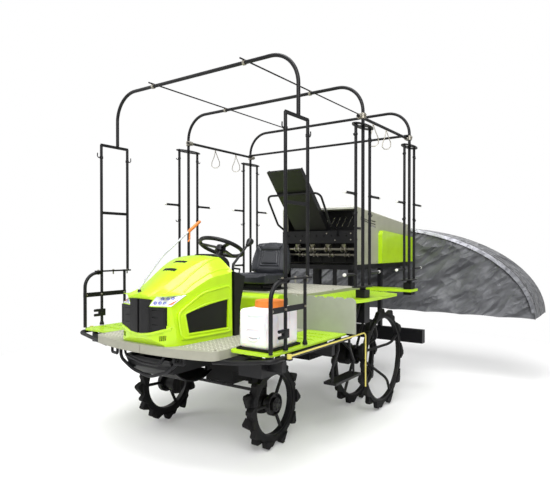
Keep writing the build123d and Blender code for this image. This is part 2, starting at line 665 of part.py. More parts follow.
def hood_form(inset):
    """Closed form of the hood, drawn in by the same amount, and let out at its open rear and base."""
    base = HOOD_BOTTOM - inset
    with BuildPart() as form:
        for ahead, foot_in, shoulder_in, ridge_in, shoulder_drop, ridge_drop, crown_drop in HOOD_SECTIONS:
            shoulder = (HOOD_HALF - shoulder_in - inset, HOOD_TOP - shoulder_drop - inset)
            ridge = (HOOD_HALF - ridge_in - inset, HOOD_TOP - ridge_drop - inset)
            foot = HOOD_HALF - foot_in - inset
            with BuildSketch(Plane.XZ.offset(ahead - HOOD_REAR_Y - (0 if ahead else inset))):
                with BuildLine():
                    Polyline((-ridge[0], ridge[1]), (-shoulder[0], shoulder[1]), (-foot, base), (foot, base), shoulder, ridge)
                    ThreePointArc(ridge, (0, HOOD_TOP - crown_drop - inset), (-ridge[0], ridge[1]))
                make_face()
        loft()
        nose = [(x, HOOD_NOSE_Y + inset + back) for x, back in NOSE_PLAN]
        with BuildSketch(Plane.XY.offset(base - 10)):
            Polygon(
                *[(-x, y) for x, y in reversed(nose)], *nose[1:], (nose[-1][0], HOOD_REAR_Y + 20),
                (-nose[-1][0], HOOD_REAR_Y + 20), align=None,
            )
        extrude(amount=HOOD_TOP, mode=Mode.INTERSECT)
        with BuildSketch(Plane.YZ.offset(-HOOD_HALF - 40)):
            Polygon(
                *[(HOOD_NOSE_Y + inset + back, base + up) for back, up in CHIN_RAKE], (HOOD_REAR_Y + 20, base + 700),
                (HOOD_REAR_Y + 20, base), align=None,
            )
        extrude(amount=2 * HOOD_HALF + 80, mode=Mode.INTERSECT)
    return form.part


GRILLE_FRONT = ((0, 922), (110, 934), (228, 966), (228, 1110), (90, 1110), (126, 1160), (0, 1164))
GRILLE_FACETS = ((9, 10), (9, 0), (30, 0), (92, 4), (106, 18), (228, 39), (228, 66))
LAMP_INNER = (Vector(100, -2288, 1117), Vector(150, -2266, 1182))
LAMP_OUTER = (Vector(250, -2232, 1116), Vector(257, -2096, 1186))
LENS_DEPTH = 12
WINDOW = ((-2090, 918), (-2108, 1050), (-1705, 1125), (-1717, 916))
WINDOW_CROWN = (-1930, 1097)
PANEL_FRAME = ((-2152, 879), (-2176, 1064), (-1676, 1238), (-1668, 879))
PANEL_CROWN = (-1946, 1196)
FRAME_PROUD = 8
TOP_SLOT_YS = (-2004, -1897)
TOP_SLOT = (130, 18)
CHIN_VENTS = 4


def front_prism(outline, gap):
    """Outline seen from the front, mirrored about the middle and run back through the nose."""
    with BuildPart() as prism:
        with BuildSketch(Plane.XZ.offset(-HOOD_NOSE_Y - 130)):
            Polygon(*outline, *[(-x, z) for x, z in reversed(outline) if x], align=None)
            if gap:
                offset(amount=gap, kind=Kind.INTERSECTION)
        extrude(amount=170)
    return prism.part


def side_prism(side, outline, crown, gap):
    """Outline seen from the side, with a bowed top edge, run through one flank of the hood."""
    with BuildPart() as prism:
        with BuildSketch(Plane.YZ.offset(min(side * 200, side * 370))):
            with BuildLine():
                Polyline(outline[2], outline[3], outline[0], outline[1])
                ThreePointArc(outline[1], crown, outline[2])
            make_face()
            if gap:
                offset(amount=gap, kind=Kind.INTERSECTION)
        extrude(amount=170)
    return prism.part


def lamp_wedge(side, ahead, behind):
    """Twisted lamp face swept from ahead of itself to behind itself."""
    ends = []
    for low, high in (LAMP_INNER, LAMP_OUTER):
        corners = [
            Vector(side * point.X, point.Y + shift, point.Z)
            for point, shift in ((low, -ahead), (high, -ahead), (high, behind), (low, behind))
        ]
        ends.append(Face(Wire.make_polygon(corners)))
    return loft(ends, ruled=True)


def hood_skin(proud, depth):
    """Layer of the hood from a height above its face to a depth below it."""
    return hood_form(-proud) - hood_form(depth)


pad_skin = hood_skin(FRAME_PROUD, 2)
with BuildPart() as hood:
    add(hood_form(0))
    add(hood_form(HOOD_WALL), mode=Mode.SUBTRACT)
    for side in (-1, 1):
        add(side_prism(side, PANEL_FRAME, PANEL_CROWN, 0) & pad_skin)
    lip = front_prism(GRILLE_FRONT, 20) - box_between((-400, HOOD_NOSE_Y - 60, 985), (400, HOOD_REAR_Y, 1300))
    add(lip & pad_skin)
    add(front_prism(GRILLE_FRONT, SEAT_GAP), mode=Mode.SUBTRACT)
    add(box_between((-HOOD_HALF, HOOD_REAR_Y - 8, HOOD_BOTTOM - 20), (HOOD_HALF, HOOD_REAR_Y + 1, 1334)), mode=Mode.SUBTRACT)
    for side in (-1, 1):
        add(side_prism(side, WINDOW, WINDOW_CROWN, SEAT_GAP), mode=Mode.SUBTRACT)
        add(lamp_wedge(side, 200, LENS_DEPTH + SEAT_GAP), mode=Mode.SUBTRACT)
        for vent in range(CHIN_VENTS):
            vent_x = side * (176 + 13 * vent)
            add(box_between(
                (vent_x - 3, HOOD_NOSE_Y - 20, 876 + 2 * vent), (vent_x + 3, HOOD_NOSE_Y + 120, 912 + 2 * vent)
            ), mode=Mode.SUBTRACT)
        near, far = sorted((side * (HINGE_EAR_X + 10), side * (HINGE_EAR_X + 10 + HINGE_WIDTH)))
        add(box_between((near, HOOD_HINGE_Y - 5, HOOD_HINGE_Z + 6), (far, HOOD_HINGE_Y + 5, HOOD_TOP)) & hood_form(2))
        barrel = Plane(origin=(near, HOOD_HINGE_Y, HOOD_HINGE_Z), x_dir=(0, 1, 0), z_dir=(1, 0, 0))
        with BuildSketch(barrel):
            Circle(HINGE_PIN_R + 5)
        extrude(amount=HINGE_WIDTH)
        with BuildSketch(barrel):
            Circle(HINGE_PIN_R + RUN_GAP)
        extrude(amount=HINGE_WIDTH, mode=Mode.SUBTRACT)
    with BuildSketch(Plane.XY.offset(HOOD_TOP - 180)):
        with Locations(*[(0, slot_y) for slot_y in TOP_SLOT_YS]):
            Rectangle(*TOP_SLOT)
    extrude(amount=200, mode=Mode.SUBTRACT)
save(hood.part, "hood")

# Grilles and lamps, which swing with the hood
with BuildPart() as grille:
    with BuildSketch(Plane.XY.offset(900)):
        facets = [(x, GRILLE_FRONT_Y + back) for x, back in GRILLE_FACETS]
        Polygon(*facets, *[(-x, y) for x, y in reversed(facets)], align=None)
    extrude(amount=300)
    add(front_prism(GRILLE_FRONT, 0), mode=Mode.INTERSECT)
    for side in (-1, 1):
        for rib_z in (985, 1035, 1085):
            near, far = sorted((side * 120, side * 222))
            add(box_between((near, GRILLE_FRONT_Y, rib_z), (far, GRILLE_FRONT_Y + 30, rib_z + 5)), mode=Mode.SUBTRACT)
window_skin = hood_skin(-3, HOOD_WALL + 3)
with BuildPart() as grille_set:
    add(grille.part)
    for side in (-1, 1):
        add(side_prism(side, WINDOW, WINDOW_CROWN, 0) & window_skin)
with BuildPart() as headlamps:
    for side in (-1, 1):
        add(lamp_wedge(side, 0, LENS_DEPTH))
save(grille_set.part, "grilles")
save(headlamps.part, "headlamps")

POLE_D = 14
with BuildPart() as sight_pole:
    add(bent_bar(
        [
            (-30, HOOD_NOSE_Y + 28, 1172), (-30, HOOD_NOSE_Y + 24, 1226), (-15, -2195, 1320), (0, -2077, 1457),
            (0, -1849, 1615), (0, -1690, 1722),
        ],
        14, POLE_D,
    ))
    add(hood_form(-SEAT_GAP), mode=Mode.SUBTRACT)
save(sight_pole.part, "sight_pole")

# White tank on its tray at the left side, with a moulded grip in its front wall and grooves down its flank
TANK_LOW = (664, -2010, DECK_TOP + 8 + SEAT_GAP)
TANK_HIGH = (912, -1650, 1112)
TANK_GRIP_Z = 950
with BuildPart() as tank:
    add(box_between(TANK_LOW, TANK_HIGH))
    fillet(tank.edges(), 30)
    tank_mid_x = (TANK_LOW[0] + TANK_HIGH[0]) / 2
    with BuildSketch(Plane.XZ.offset(-TANK_LOW[1])):
        with Locations((tank_mid_x, TANK_GRIP_Z)):
            SlotOverall(130, 62)
            SlotOverall(84, 18, mode=Mode.SUBTRACT)
        with Locations((tank_mid_x, TANK_GRIP_Z + 92)):
            RectangleRounded(96, 54, 12)
    extrude(amount=-9, mode=Mode.SUBTRACT)
    with BuildSketch(Plane.YZ.offset(TANK_HIGH[0])):
        with Locations(*[(groove_y, (TANK_LOW[2] + TANK_HIGH[2]) / 2) for groove_y in (-1900, -1760)]):
            SlotOverall(190, 14, rotation=90)
    extrude(amount=-8, mode=Mode.SUBTRACT)
save(tank.part, "side_tank")
with BuildPart() as tank_cap:
    with BuildSketch(Plane.XY.offset(TANK_HIGH[2] + SEAT_GAP)):
        with Locations((774, -1800)):
            Circle(104)
    extrude(amount=44, taper=4)
save(tank_cap.part, "tank_cap")
with BuildPart() as tank_tray:
    add(box_between((655, -2020, DECK_TOP + SEAT_GAP), (922, -1640, DECK_TOP + 14)))
    add(box_between((660, -2015, DECK_TOP + 8), (917, -1645, DECK_TOP + 20)), mode=Mode.SUBTRACT)
save(tank_tray.part, "tank_tray")

# Front racks: a bent tube, two uprights, a holed flat bar and a ladder, one each side
RACK_X = 968
with BuildPart() as front_rack:
    add(bent_bar(
        [(RACK_X, -2060, 843), (RACK_X, -2060, 1298), (RACK_X, -1900, 1298)], 120, 28
    ))
    add(cylinder_between((RACK_X, -1895, 846), (RACK_X, -1895, FRONT_RACK_TOP - 10), 12))
    add(cylinder_between((RACK_X, -1655, 846), (RACK_X, -1655, 1320), 12))
    add(cylinder_between((RACK_X, -1620, 1310), (RACK_X, -1620, FRONT_RACK_TOP - 10), 12))
    add(box_between((RACK_X - 4, -2075, 1096), (RACK_X + 4, -1640, 1134)))
    add(box_between((RACK_X - 24, -1950, 1306), (RACK_X + 24, -1600, 1318)))
    for rung_z in (1820, FRONT_RACK_TOP - 12):
        add(box_between((RACK_X - 5, -1900, rung_z - 12), (RACK_X + 5, -1612, rung_z + 12)))
with BuildPart() as front_racks:
    add(front_rack.part)
    add(mirrored(front_rack.part))
save(front_racks.part, "front_racks")

# Overhead hoops: three bent tubes across the machine
HOOPS = (
    # y, half width, leg foot
    (FRONT_HOOP_Y, FRONT_HOOP_X, FRONT_RACK_TOP + SEAT_GAP),
    (MIDDLE_HOOP_Y, HOOP_X, 1120),
    (REAR_HOOP_Y, HOOP_X, 1110),
)
with BuildPart() as overhead_hoops:
    for hoop_y, half_width, foot in HOOPS:
        top = HOOP_TOP - TUBE_D / 2
        add(bent_bar(
            [(-half_width, hoop_y, foot), (-half_width, hoop_y, top), (half_width, hoop_y, top), (half_width, hoop_y, foot)],
            HOOP_BEND, TUBE_D,
        ))
save(overhead_hoops.part, "overhead_hoops")
RAIL_BAR_X = HOOP_X - TUBE_D / 2 - 13 - SEAT_GAP
TIE_BAR_Y = REAR_HOOP_Y - TUBE_D / 2 - 12 - SEAT_GAP
with BuildPart() as roof_rods:
    for side in (-1, 1):
        add(cylinder_between(
            (side * ROD_X, FRONT_HOOP_Y - 50, HOOP_TOP + ROD_D / 2 + SEAT_GAP),
            (side * ROD_X, REAR_HOOP_Y + 50, HOOP_TOP + ROD_D / 2 + SEAT_GAP), ROD_D / 2,
        ))
        add(cylinder_between(
            (side * RAIL_BAR_X, MIDDLE_HOOP_Y - 40, RAIL_Z), (side * RAIL_BAR_X, REAR_HOOP_Y + 40, RAIL_Z), 13
        ))
    add(cylinder_between((-HOOP_X, TIE_BAR_Y, RAIL_Z + 20), (HOOP_X, TIE_BAR_Y, RAIL_Z + 20), 12))
save(roof_rods.part, "roof_rails")

# Posts under the middle and rear hoops, bolted to the deck's edges
with BuildPart() as post_brackets:
    for side in (-1, 1):
        for hoop_y, low in ((MIDDLE_HOOP_Y, 900), (REAR_HOOP_Y, 1050)):
            add(box_between((side * HOOP_X - 40, hoop_y - 50, low), (side * HOOP_X + 40, hoop_y + 50, 1170)))
            add(cylinder_between((side * HOOP_X, hoop_y, 1160), (side * HOOP_X, hoop_y, RACK_BOTTOM - SEAT_GAP), 26))
            with BuildSketch(Plane.XY.offset(low)):
                with Locations((side * HOOP_X, hoop_y)):
                    Circle(TUBE_D / 2 + SEAT_GAP)
            extrude(amount=RACK_BOTTOM - low, mode=Mode.SUBTRACT)
save(post_brackets.part, "post_brackets")


def tray_rack(post_x, post_y):
    """Swivelling frame round a hoop leg: two lens plates, two tubes and collared pegs."""
    with BuildPart() as rack:
        for level in (RACK_BOTTOM, RACK_TOP - RACK_PLATE):
            with BuildSketch(Plane.XY.offset(level)):
                with Locations((post_x, post_y)):
                    Ellipse(RACK_PLATE_WAIST, RACK_PLATE_HALF)
                    Circle(TUBE_D / 2 + 1, mode=Mode.SUBTRACT)
                with Locations((post_x, post_y - RACK_TUBE_OFFSET / 2), (post_x, post_y + RACK_TUBE_OFFSET / 2)):
                    SlotOverall(62, 34, rotation=90, mode=Mode.SUBTRACT)
            extrude(amount=RACK_PLATE)
        for end in (-1, 1):
            tube_y = post_y + end * RACK_TUBE_OFFSET
            add(cylinder_between((post_x, tube_y, RACK_BOTTOM + 2), (post_x, tube_y, RACK_TOP - 2), RACK_TUBE_D / 2))
            for peg_z in (1305, 1950):
                add(cylinder_between(
                    (post_x, tube_y, peg_z), (post_x, tube_y + end * PEG_COLLAR_R, peg_z), PEG_COLLAR_R
                ))
                add(cylinder_between((post_x, tube_y, peg_z), (post_x, tube_y + end * PEG_LENGTH, peg_z), PEG_D / 2))
    return rack.part


for side, sign in (("left", 1), ("right", -1)):
    for place, hoop_y in (("middle", MIDDLE_HOOP_Y), ("rear", REAR_HOOP_Y)):
        save(tray_rack(sign * HOOP_X, hoop_y), f"tray_rack_{place}_{side}")

# Foot steps hung under the side tubes
with BuildPart() as foot_steps:
    for side in (-1, 1):
        x = side * 950
        hang = SIDE_TUBE_Z - 24 - SIDE_TUBE_D / 2 - SEAT_GAP
        for low_y, high_y in ((-1230, -1230), (-880, -1050)):
            add(bent_bar(
                [(x, low_y, 478), (x, low_y, 600), (side * SIDE_TUBE_X, high_y, hang - 50), (side * SIDE_TUBE_X, high_y, hang)],
                20, 20,
            ))
        near, far = sorted((side * 880, side * 990))
        add(box_between((near, -1245, 466), (far, -820, 486)))
save(foot_steps.part, "foot_steps")

# Line markers folded along the side tubes
with BuildPart() as marker:
    add(bent_bar(
        [(MARKER_X, MARKER_FRONT_Y, MARKER_Z), (MARKER_X, MARKER_REAR_Y, MARKER_Z), (MARKER_X, MARKER_REAR_Y, 380)], 40, 12
    ))
    add(cylinder_between((MARKER_X, MARKER_FRONT_Y, MARKER_Z - 14), (MARKER_X, MARKER_FRONT_Y, MARKER_Z + 14), 16))
save(marker.part, "line_marker_left")
save(mirrored(marker.part), "line_marker_right")

# Seeding unit: frame, hollow housing, feed beam, shafts, louvre panel, feed tray and side covers
with BuildPart() as unit_frame:
    for side in (-1, 1):
        rail_x = UNIT_X + side * UNIT_RAIL_X
        add(box_between(
            (rail_x - 22, UNIT_FRONT_Y - 70, UNIT_BASE_Z - 50), (rail_x + 22, CURTAIN_FRONT_Y - SEAT_GAP, UNIT_BASE_Z - SEAT_GAP)
        ))
        add(box_between(
            (side * RAIL_X - 24, CHASSIS_REAR - 60, RAIL_TOP + SEAT_GAP), (side * RAIL_X + 24, CHASSIS_REAR - 8, UNIT_BASE_Z - 40)
        ))
        near, far = sorted((side * 300, side * 345))
        add(box_between(
            (near, UNIT_FRONT_Y - 70, UPPER_TOP + SEAT_GAP), (far, UNIT_FRONT_Y - 61, UNIT_BASE_Z - 40)
        ))
    for cross_y in (UNIT_FRONT_Y - 48, CHASSIS_REAR - 34, UNIT_REAR_Y - 22):
        add(box_between(
            (UNIT_X - UNIT_RAIL_X, cross_y - 22, UNIT_BASE_Z - 48), (UNIT_X + UNIT_RAIL_X, cross_y + 22, UNIT_BASE_Z - 4)
        ))
save(unit_frame.part, "unit_frame")

ROOF_SLOPE = (UNIT_TOP_FRONT - UNIT_TOP_REAR) / (UNIT_REAR_Y - UNIT_FRONT_Y)
LOUVRES = 3
LOUVRE_Y = 400
with BuildPart() as unit_housing:
    with BuildSketch(Plane.YZ.offset(UNIT_X - UNIT_HALF)):
        Polygon(
            (UNIT_FRONT_Y, UNIT_BASE_Z), (UNIT_REAR_Y, UNIT_BASE_Z), (UNIT_REAR_Y, UNIT_TOP_REAR),
            (UNIT_FRONT_Y, UNIT_TOP_FRONT), align=None,
        )
    extrude(amount=2 * UNIT_HALF)
    fillet(unit_housing.faces().sort_by(Axis.Z)[-1].edges().filter_by(Axis.X, reverse=True), 20)
    with BuildSketch(Plane.YZ.offset(UNIT_X - UNIT_HALF + UNIT_WALL)):
        Polygon(
            (UNIT_FRONT_Y - 1, UNIT_BASE_Z - 1), (UNIT_REAR_Y + 1, UNIT_BASE_Z - 1), (UNIT_REAR_Y + 1, UNIT_TOP_REAR - 14),
            (UNIT_FRONT_Y - 1, UNIT_TOP_FRONT - 14), align=None,
        )
    extrude(amount=2 * (UNIT_HALF - UNIT_WALL), mode=Mode.SUBTRACT)
    with BuildSketch(Plane.YZ.offset(UNIT_X - UNIT_HALF - 1)):
        for louvre in range(LOUVRES):
            with Locations((LOUVRE_Y, 1745 + 28 * louvre)):
                SlotOverall(190, 12, rotation=-degrees(ROOF_SLOPE))
    extrude(amount=2 * UNIT_HALF + 2, mode=Mode.SUBTRACT)
save(unit_housing.part, "unit_housing")

BEAM_HOLES = 9
with BuildPart() as feed_beam:
    add(box_between(
        (UNIT_X - FEED_BEAM_HALF, UNIT_FRONT_Y - 20, FEED_BEAM_LOW), (UNIT_X + FEED_BEAM_HALF, UNIT_FRONT_Y + 90, FEED_BEAM_HIGH)
    ))
    add(box_between(
        (UNIT_X - FEED_BEAM_HALF + UNIT_WALL, UNIT_FRONT_Y - 10, FEED_BEAM_LOW - 5),
        (UNIT_X + FEED_BEAM_HALF - UNIT_WALL, UNIT_FRONT_Y + 80, FEED_BEAM_HIGH - 10),
    ), mode=Mode.SUBTRACT)
    with BuildSketch(Plane.XZ.offset(-UNIT_FRONT_Y + 21)):
        with Locations((UNIT_X, (FEED_BEAM_LOW + FEED_BEAM_HIGH) / 2 + 12)):
            with GridLocations(88, 0, BEAM_HOLES, 1):
                Circle(8)
    extrude(amount=-14, mode=Mode.SUBTRACT)
save(feed_beam.part, "feed_beam")

# Feed gear open to view: three shafts, the pick-up rollers in pairs and the funnels that drop the seedlings
FEED_ROWS = 4
FEED_PITCH = 190
SHAFTS = (
    # behind the housing's front, height, radius
    (60, 1500, 14),
    (130, 1440, 14),
    (180, 1620, 20),
)
with BuildPart() as feed_shafts:
    for behind, shaft_z, shaft_r in SHAFTS:
        add(cylinder_between(
            (UNIT_X - FEED_BEAM_HALF, UNIT_FRONT_Y + behind, shaft_z), (UNIT_X + FEED_BEAM_HALF, UNIT_FRONT_Y + behind, shaft_z),
            shaft_r,
        ))
    for row in range(FEED_ROWS):
        row_x = UNIT_X + (row - (FEED_ROWS - 1) / 2) * FEED_PITCH
        for behind, shaft_z, roller_r in ((SHAFTS[0][0], SHAFTS[0][1], 34), (SHAFTS[1][0], SHAFTS[1][1], 26)):
            for offset_x in (-30, 18):
                add(cylinder_between(
                    (row_x + offset_x, UNIT_FRONT_Y + behind, shaft_z), (row_x + offset_x + 12, UNIT_FRONT_Y + behind, shaft_z),
                    roller_r,
                ))
        with BuildSketch(Plane.XY.offset(SHAFTS[0][1] + 6)):
            with Locations((row_x, UNIT_FRONT_Y + SHAFTS[0][0])):
                Circle(16)
        extrude(amount=44, taper=-22)
save(feed_shafts.part, "feed_shafts")

PANEL_Y = UNIT_FRONT_Y + 200
PANEL_SLATS = 11
with BuildPart() as louvre_panel:
    add(box_between(
        (UNIT_X - FEED_BEAM_HALF, PANEL_Y, FEED_BEAM_HIGH - 20),
        (UNIT_X + FEED_BEAM_HALF, PANEL_Y + 6, UNIT_TOP_FRONT - 14 - ROOF_SLOPE * (PANEL_Y + 6 - UNIT_FRONT_Y) - SEAT_GAP),
    ))
    with BuildSketch(Plane.XZ.offset(-PANEL_Y)):
        with Locations((UNIT_X, (FEED_BEAM_HIGH + UNIT_TOP_FRONT) / 2 - 26)):
            with GridLocations(70, 0, PANEL_SLATS, 1):
                SlotOverall(120, 12, rotation=62)
    extrude(amount=-6, mode=Mode.SUBTRACT)
save(louvre_panel.part, "louvre_panel")

TRAY_HALF = 195
TRAY_FOOT = (10, FEED_BEAM_HIGH + SEAT_GAP)
TRAY_KNEE = (-330, 2062)
TRAY_HEAD = (-520, 2268)
with BuildPart() as feed_tray:
    with BuildSketch(Plane.YZ.offset(-TRAY_HALF)):
        with BuildLine():
            Polyline(
                TRAY_FOOT, (TRAY_FOOT[0] + 20, TRAY_FOOT[1]), (TRAY_KNEE[0] + 12, TRAY_KNEE[1] + 8),
                (TRAY_HEAD[0] + 10, TRAY_HEAD[1] + 12), TRAY_HEAD, (TRAY_KNEE[0], TRAY_KNEE[1] - 6), close=True,
            )
        make_face()
    extrude(amount=2 * TRAY_HALF)
    for side in (-1, 1):
        with BuildSketch(Plane.YZ.offset(side * TRAY_HALF - 4)):
            Polygon(
                TRAY_FOOT, (TRAY_FOOT[0] + 56, TRAY_FOOT[1] + 26), (TRAY_KNEE[0] + 48, TRAY_KNEE[1] + 26),
                (TRAY_HEAD[0] + 40, TRAY_HEAD[1] + 22), TRAY_HEAD, (TRAY_KNEE[0], TRAY_KNEE[1] - 6), align=None,
            )
        extrude(amount=8)
save(feed_tray.part, "feed_tray")

GUARD_D = 22
with BuildPart() as tray_guard:
    add(bent_bar(
        [(-320, -20, 1700), (-320, -150, 1760), (-320, -350, 2050), (320, -350, 2050), (320, -150, 1760), (320, -20, 1700)],
        60, GUARD_D,
    ))
    for side in (-1, 1):
        near, far = sorted((side * 310, side * 330))
        add(box_between((near, UNIT_FRONT_Y - 40, 1640), (far, UNIT_FRONT_Y - 20 - SEAT_GAP, 1712)))
save(tray_guard.part, "tray_guard")

COVER_FRONT_Y = 560
COVER_TOP = 1705
with BuildPart() as side_covers:
    for side in (-1, 1):
        near, far = sorted(UNIT_X + side * reach for reach in (UNIT_HALF + SEAT_GAP, UNIT_HALF + 46))
        with BuildSketch(Plane.YZ.offset(near)):
            with BuildLine():
                Line((COVER_FRONT_Y, UNIT_BASE_Z), (UNIT_REAR_Y, UNIT_BASE_Z))
                Line((UNIT_REAR_Y, UNIT_BASE_Z), (UNIT_REAR_Y, COVER_TOP - 60))
                Line((UNIT_REAR_Y, COVER_TOP - 60), (COVER_FRONT_Y + 55, COVER_TOP))
                RadiusArc((COVER_FRONT_Y + 55, COVER_TOP), (COVER_FRONT_Y, COVER_TOP - 55), -55)
                Line((COVER_FRONT_Y, COVER_TOP - 55), (COVER_FRONT_Y, UNIT_BASE_Z))
            make_face()
        extrude(amount=far - near, taper=4 if side > 0 else -4)
save(side_covers.part, "side_covers")

# Levelling bar across the rear
with BuildPart() as levelling_bar:
    add(box_between((-1000, 620, 500), (1000, 700, 640)))
    for side in (-1, 1):
        post_x = UNIT_X + side * UNIT_RAIL_X
        add(box_between((post_x - 20, 640, 630), (post_x + 20, 690, UNIT_BASE_Z - 50 - SEAT_GAP)))
save(levelling_bar.part, "levelling_bar")

# Cloth hood over the throwing heads, open below


def arch_sketch(half, base, top):
    """Half ellipse standing on its base line."""
    with BuildSketch() as arch:
        with BuildLine():
            EllipticalCenterArc((0, base), half, top - base, start_angle=0, arc_size=180)
            Line((-half, base), (half, base))
        make_face()
    return arch.sketch


with BuildPart() as curtain:
    with BuildSketch(Plane.XZ.offset(-CURTAIN_REAR_Y)):
        add(arch_sketch(CURTAIN_HALF, CURTAIN_BASE, CURTAIN_TOP))
    extrude(amount=CURTAIN_REAR_Y - CURTAIN_FRONT_Y)
    with BuildSketch(Plane.XZ.offset(-CURTAIN_REAR_Y + CURTAIN_WALL)):
        add(arch_sketch(CURTAIN_HALF - CURTAIN_WALL, CURTAIN_BASE, CURTAIN_TOP - CURTAIN_WALL))
    extrude(amount=CURTAIN_REAR_Y - CURTAIN_FRONT_Y - 2 * CURTAIN_WALL, mode=Mode.SUBTRACT)
save(curtain.part, "cloth_hood")
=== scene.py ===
"""Finishes and soft parts of a ride-on rice seedling broadcaster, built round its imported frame."""

import json
import math

import bmesh
import bpy
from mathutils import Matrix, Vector, noise


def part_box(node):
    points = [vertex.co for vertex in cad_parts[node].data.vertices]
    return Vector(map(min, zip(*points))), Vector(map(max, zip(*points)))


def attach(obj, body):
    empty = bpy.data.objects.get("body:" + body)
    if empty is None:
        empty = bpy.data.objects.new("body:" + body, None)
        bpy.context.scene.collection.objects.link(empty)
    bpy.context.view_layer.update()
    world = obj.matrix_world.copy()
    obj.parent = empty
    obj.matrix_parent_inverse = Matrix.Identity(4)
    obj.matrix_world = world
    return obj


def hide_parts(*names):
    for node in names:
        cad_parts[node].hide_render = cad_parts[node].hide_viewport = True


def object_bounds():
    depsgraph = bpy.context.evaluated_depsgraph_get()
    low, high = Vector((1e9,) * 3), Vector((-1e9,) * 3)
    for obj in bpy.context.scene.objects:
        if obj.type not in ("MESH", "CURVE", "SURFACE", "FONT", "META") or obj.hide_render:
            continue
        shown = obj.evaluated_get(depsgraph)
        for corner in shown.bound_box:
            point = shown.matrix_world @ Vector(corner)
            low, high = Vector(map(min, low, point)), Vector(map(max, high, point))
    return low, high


bl_info = {
    "name": "Rice Seedling Broadcaster",
    "version": (1, 0, 0),
    "blender": (4, 5, 0),
    "location": "View3D > Sidebar > Broadcaster",
    "description": "Dresses the paddy machine's frame with paint, rubber, cloth and trim",
    "category": "Object",
}

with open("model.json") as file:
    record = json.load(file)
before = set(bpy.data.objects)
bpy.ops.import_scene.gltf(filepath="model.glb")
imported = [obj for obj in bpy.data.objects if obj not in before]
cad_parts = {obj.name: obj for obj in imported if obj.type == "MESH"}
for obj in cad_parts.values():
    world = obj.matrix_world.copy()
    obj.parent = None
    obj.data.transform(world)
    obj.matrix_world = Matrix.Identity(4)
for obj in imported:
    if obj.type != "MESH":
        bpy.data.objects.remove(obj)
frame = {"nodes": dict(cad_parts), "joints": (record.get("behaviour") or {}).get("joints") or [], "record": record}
NODES = frame["nodes"]
PACKED_SLOTS = {material["slot"] for material in frame["record"]["materials"]}
CAD_LOW, CAD_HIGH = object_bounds()
SIDES = ((1, "left"), (-1, "right"))


# Shader helpers


class Signal:
    """A socket that can stand in sums, so that shader maths reads as an expression."""

    def __init__(self, shade, socket):
        self.shade = shade
        self.socket = socket

    def _math(self, operation, first, second):
        return self.shade.node("Math", {"operation": operation}, {0: first, 1: second}).outputs[0]

    def _made(self, operation, first, second):
        return Signal(self.shade, self._math(operation, first, second))

    def __add__(self, other):
        return self._made("ADD", self, other)

    __radd__ = __add__

    def __mul__(self, other):
        return self._made("MULTIPLY", self, other)

    def __sub__(self, other):
        return self._made("SUBTRACT", self, other)

    def __rsub__(self, other):
        return self._made("SUBTRACT", other, self)

    def ridge(self):
        """Sharp crest where a noise passes its middle."""
        return 1.0 - Signal(self.shade, self._math("ABSOLUTE", self * 2.0 - 1.0, 0.0)) * 3.0

    def wave(self):
        """Sine of the value."""
        return self._made("SINE", self, 0.0)


class Shade:
    """One material's node tree, with short calls for its nodes."""

    def __init__(self, name):
        self.material = bpy.data.materials.new(name)
        self.material.use_nodes = True
        self.tree = self.material.node_tree
        self.tree.nodes.clear()
        self.output = self.node("OutputMaterial")
        self.place = self.node("TexCoord").outputs["Object"]

    def feed(self, socket, value):
        """Link a socket or set its value."""
        if isinstance(value, Signal):
            value = value.socket
        if isinstance(value, bpy.types.NodeSocket):
            self.tree.links.new(value, socket)
        else:
            socket.default_value = value

    def node(self, kind, settings=None, inputs=None):
        """Add a node: its settings first, then the values or links of its sockets."""
        made = self.tree.nodes.new("ShaderNode" + kind)
        for key, value in (settings or {}).items():
            if key == "stops":
                ramp = made.color_ramp.elements
                while len(ramp) < len(value):
                    ramp.new(0.5)
                for element, (position, colour) in zip(ramp, value):
                    element.position = position
                    element.color = colour
            else:
                setattr(made, key, value)
        for key, value in (inputs or {}).items():
            self.feed(made.inputs[key], value)
        return made

    def noise(self, scale, detail=3.0, rough=0.55, at=None):
        """Noise strength at a scale in cycles a metre."""
        inputs = {"Vector": at or self.place, "Scale": scale, "Detail": detail, "Roughness": rough}
        made = self.node("TexNoise", None, inputs)
        return Signal(self, made.outputs["Fac"])

    def mapped(self, source=None, turn=(0.0, 0.0, 0.0), stretch=(1.0, 1.0, 1.0)):
        """The place, or a source of the same kind, turned in radians and stretched."""
        inputs = {"Vector": source or self.place, "Rotation": turn, "Scale": stretch}
        return self.node("Mapping", None, inputs).outputs[0]

    def band(self, signal, low, high):
        """Step that rises from 0 at low to 1 at high."""
        made = self.node("MapRange", {"clamp": True}, {"Value": signal, "From Min": low, "From Max": high})
        return Signal(self, made.outputs["Result"])

    def axis(self, letter):
        """One coordinate in metres."""
        made = self.node("SeparateXYZ", None, {0: self.place})
        return Signal(self, made.outputs[letter])

    def mix(self, amount, first, second):
        """Blend of two colours."""
        made = self.node("Mix", {"data_type": "RGBA"}, {0: amount, 6: first, 7: second})
        return made.outputs[2]

    def bump(self, height, strength, distance, under=None):
        """Normal from a height, over another normal if there is one."""
        inputs = {"Height": height, "Strength": strength, "Distance": distance}
        if under is not None:
            inputs["Normal"] = under
        return self.node("Bump", None, inputs).outputs["Normal"]

    def surface(self, colour, roughness, normal=None, **values):
        """Close the tree with the surface shader."""
        made = self.node("BsdfPrincipled", None, {"Base Color": colour, "Roughness": roughness})
        if normal is not None:
            self.feed(made.inputs["Normal"], normal)
        for key, value in values.items():
            self.feed(made.inputs[key.replace("_", " ").title().replace("Ior", "IOR")], value)
        self.feed(self.output.inputs["Surface"], made.outputs["BSDF"])
        return self.material


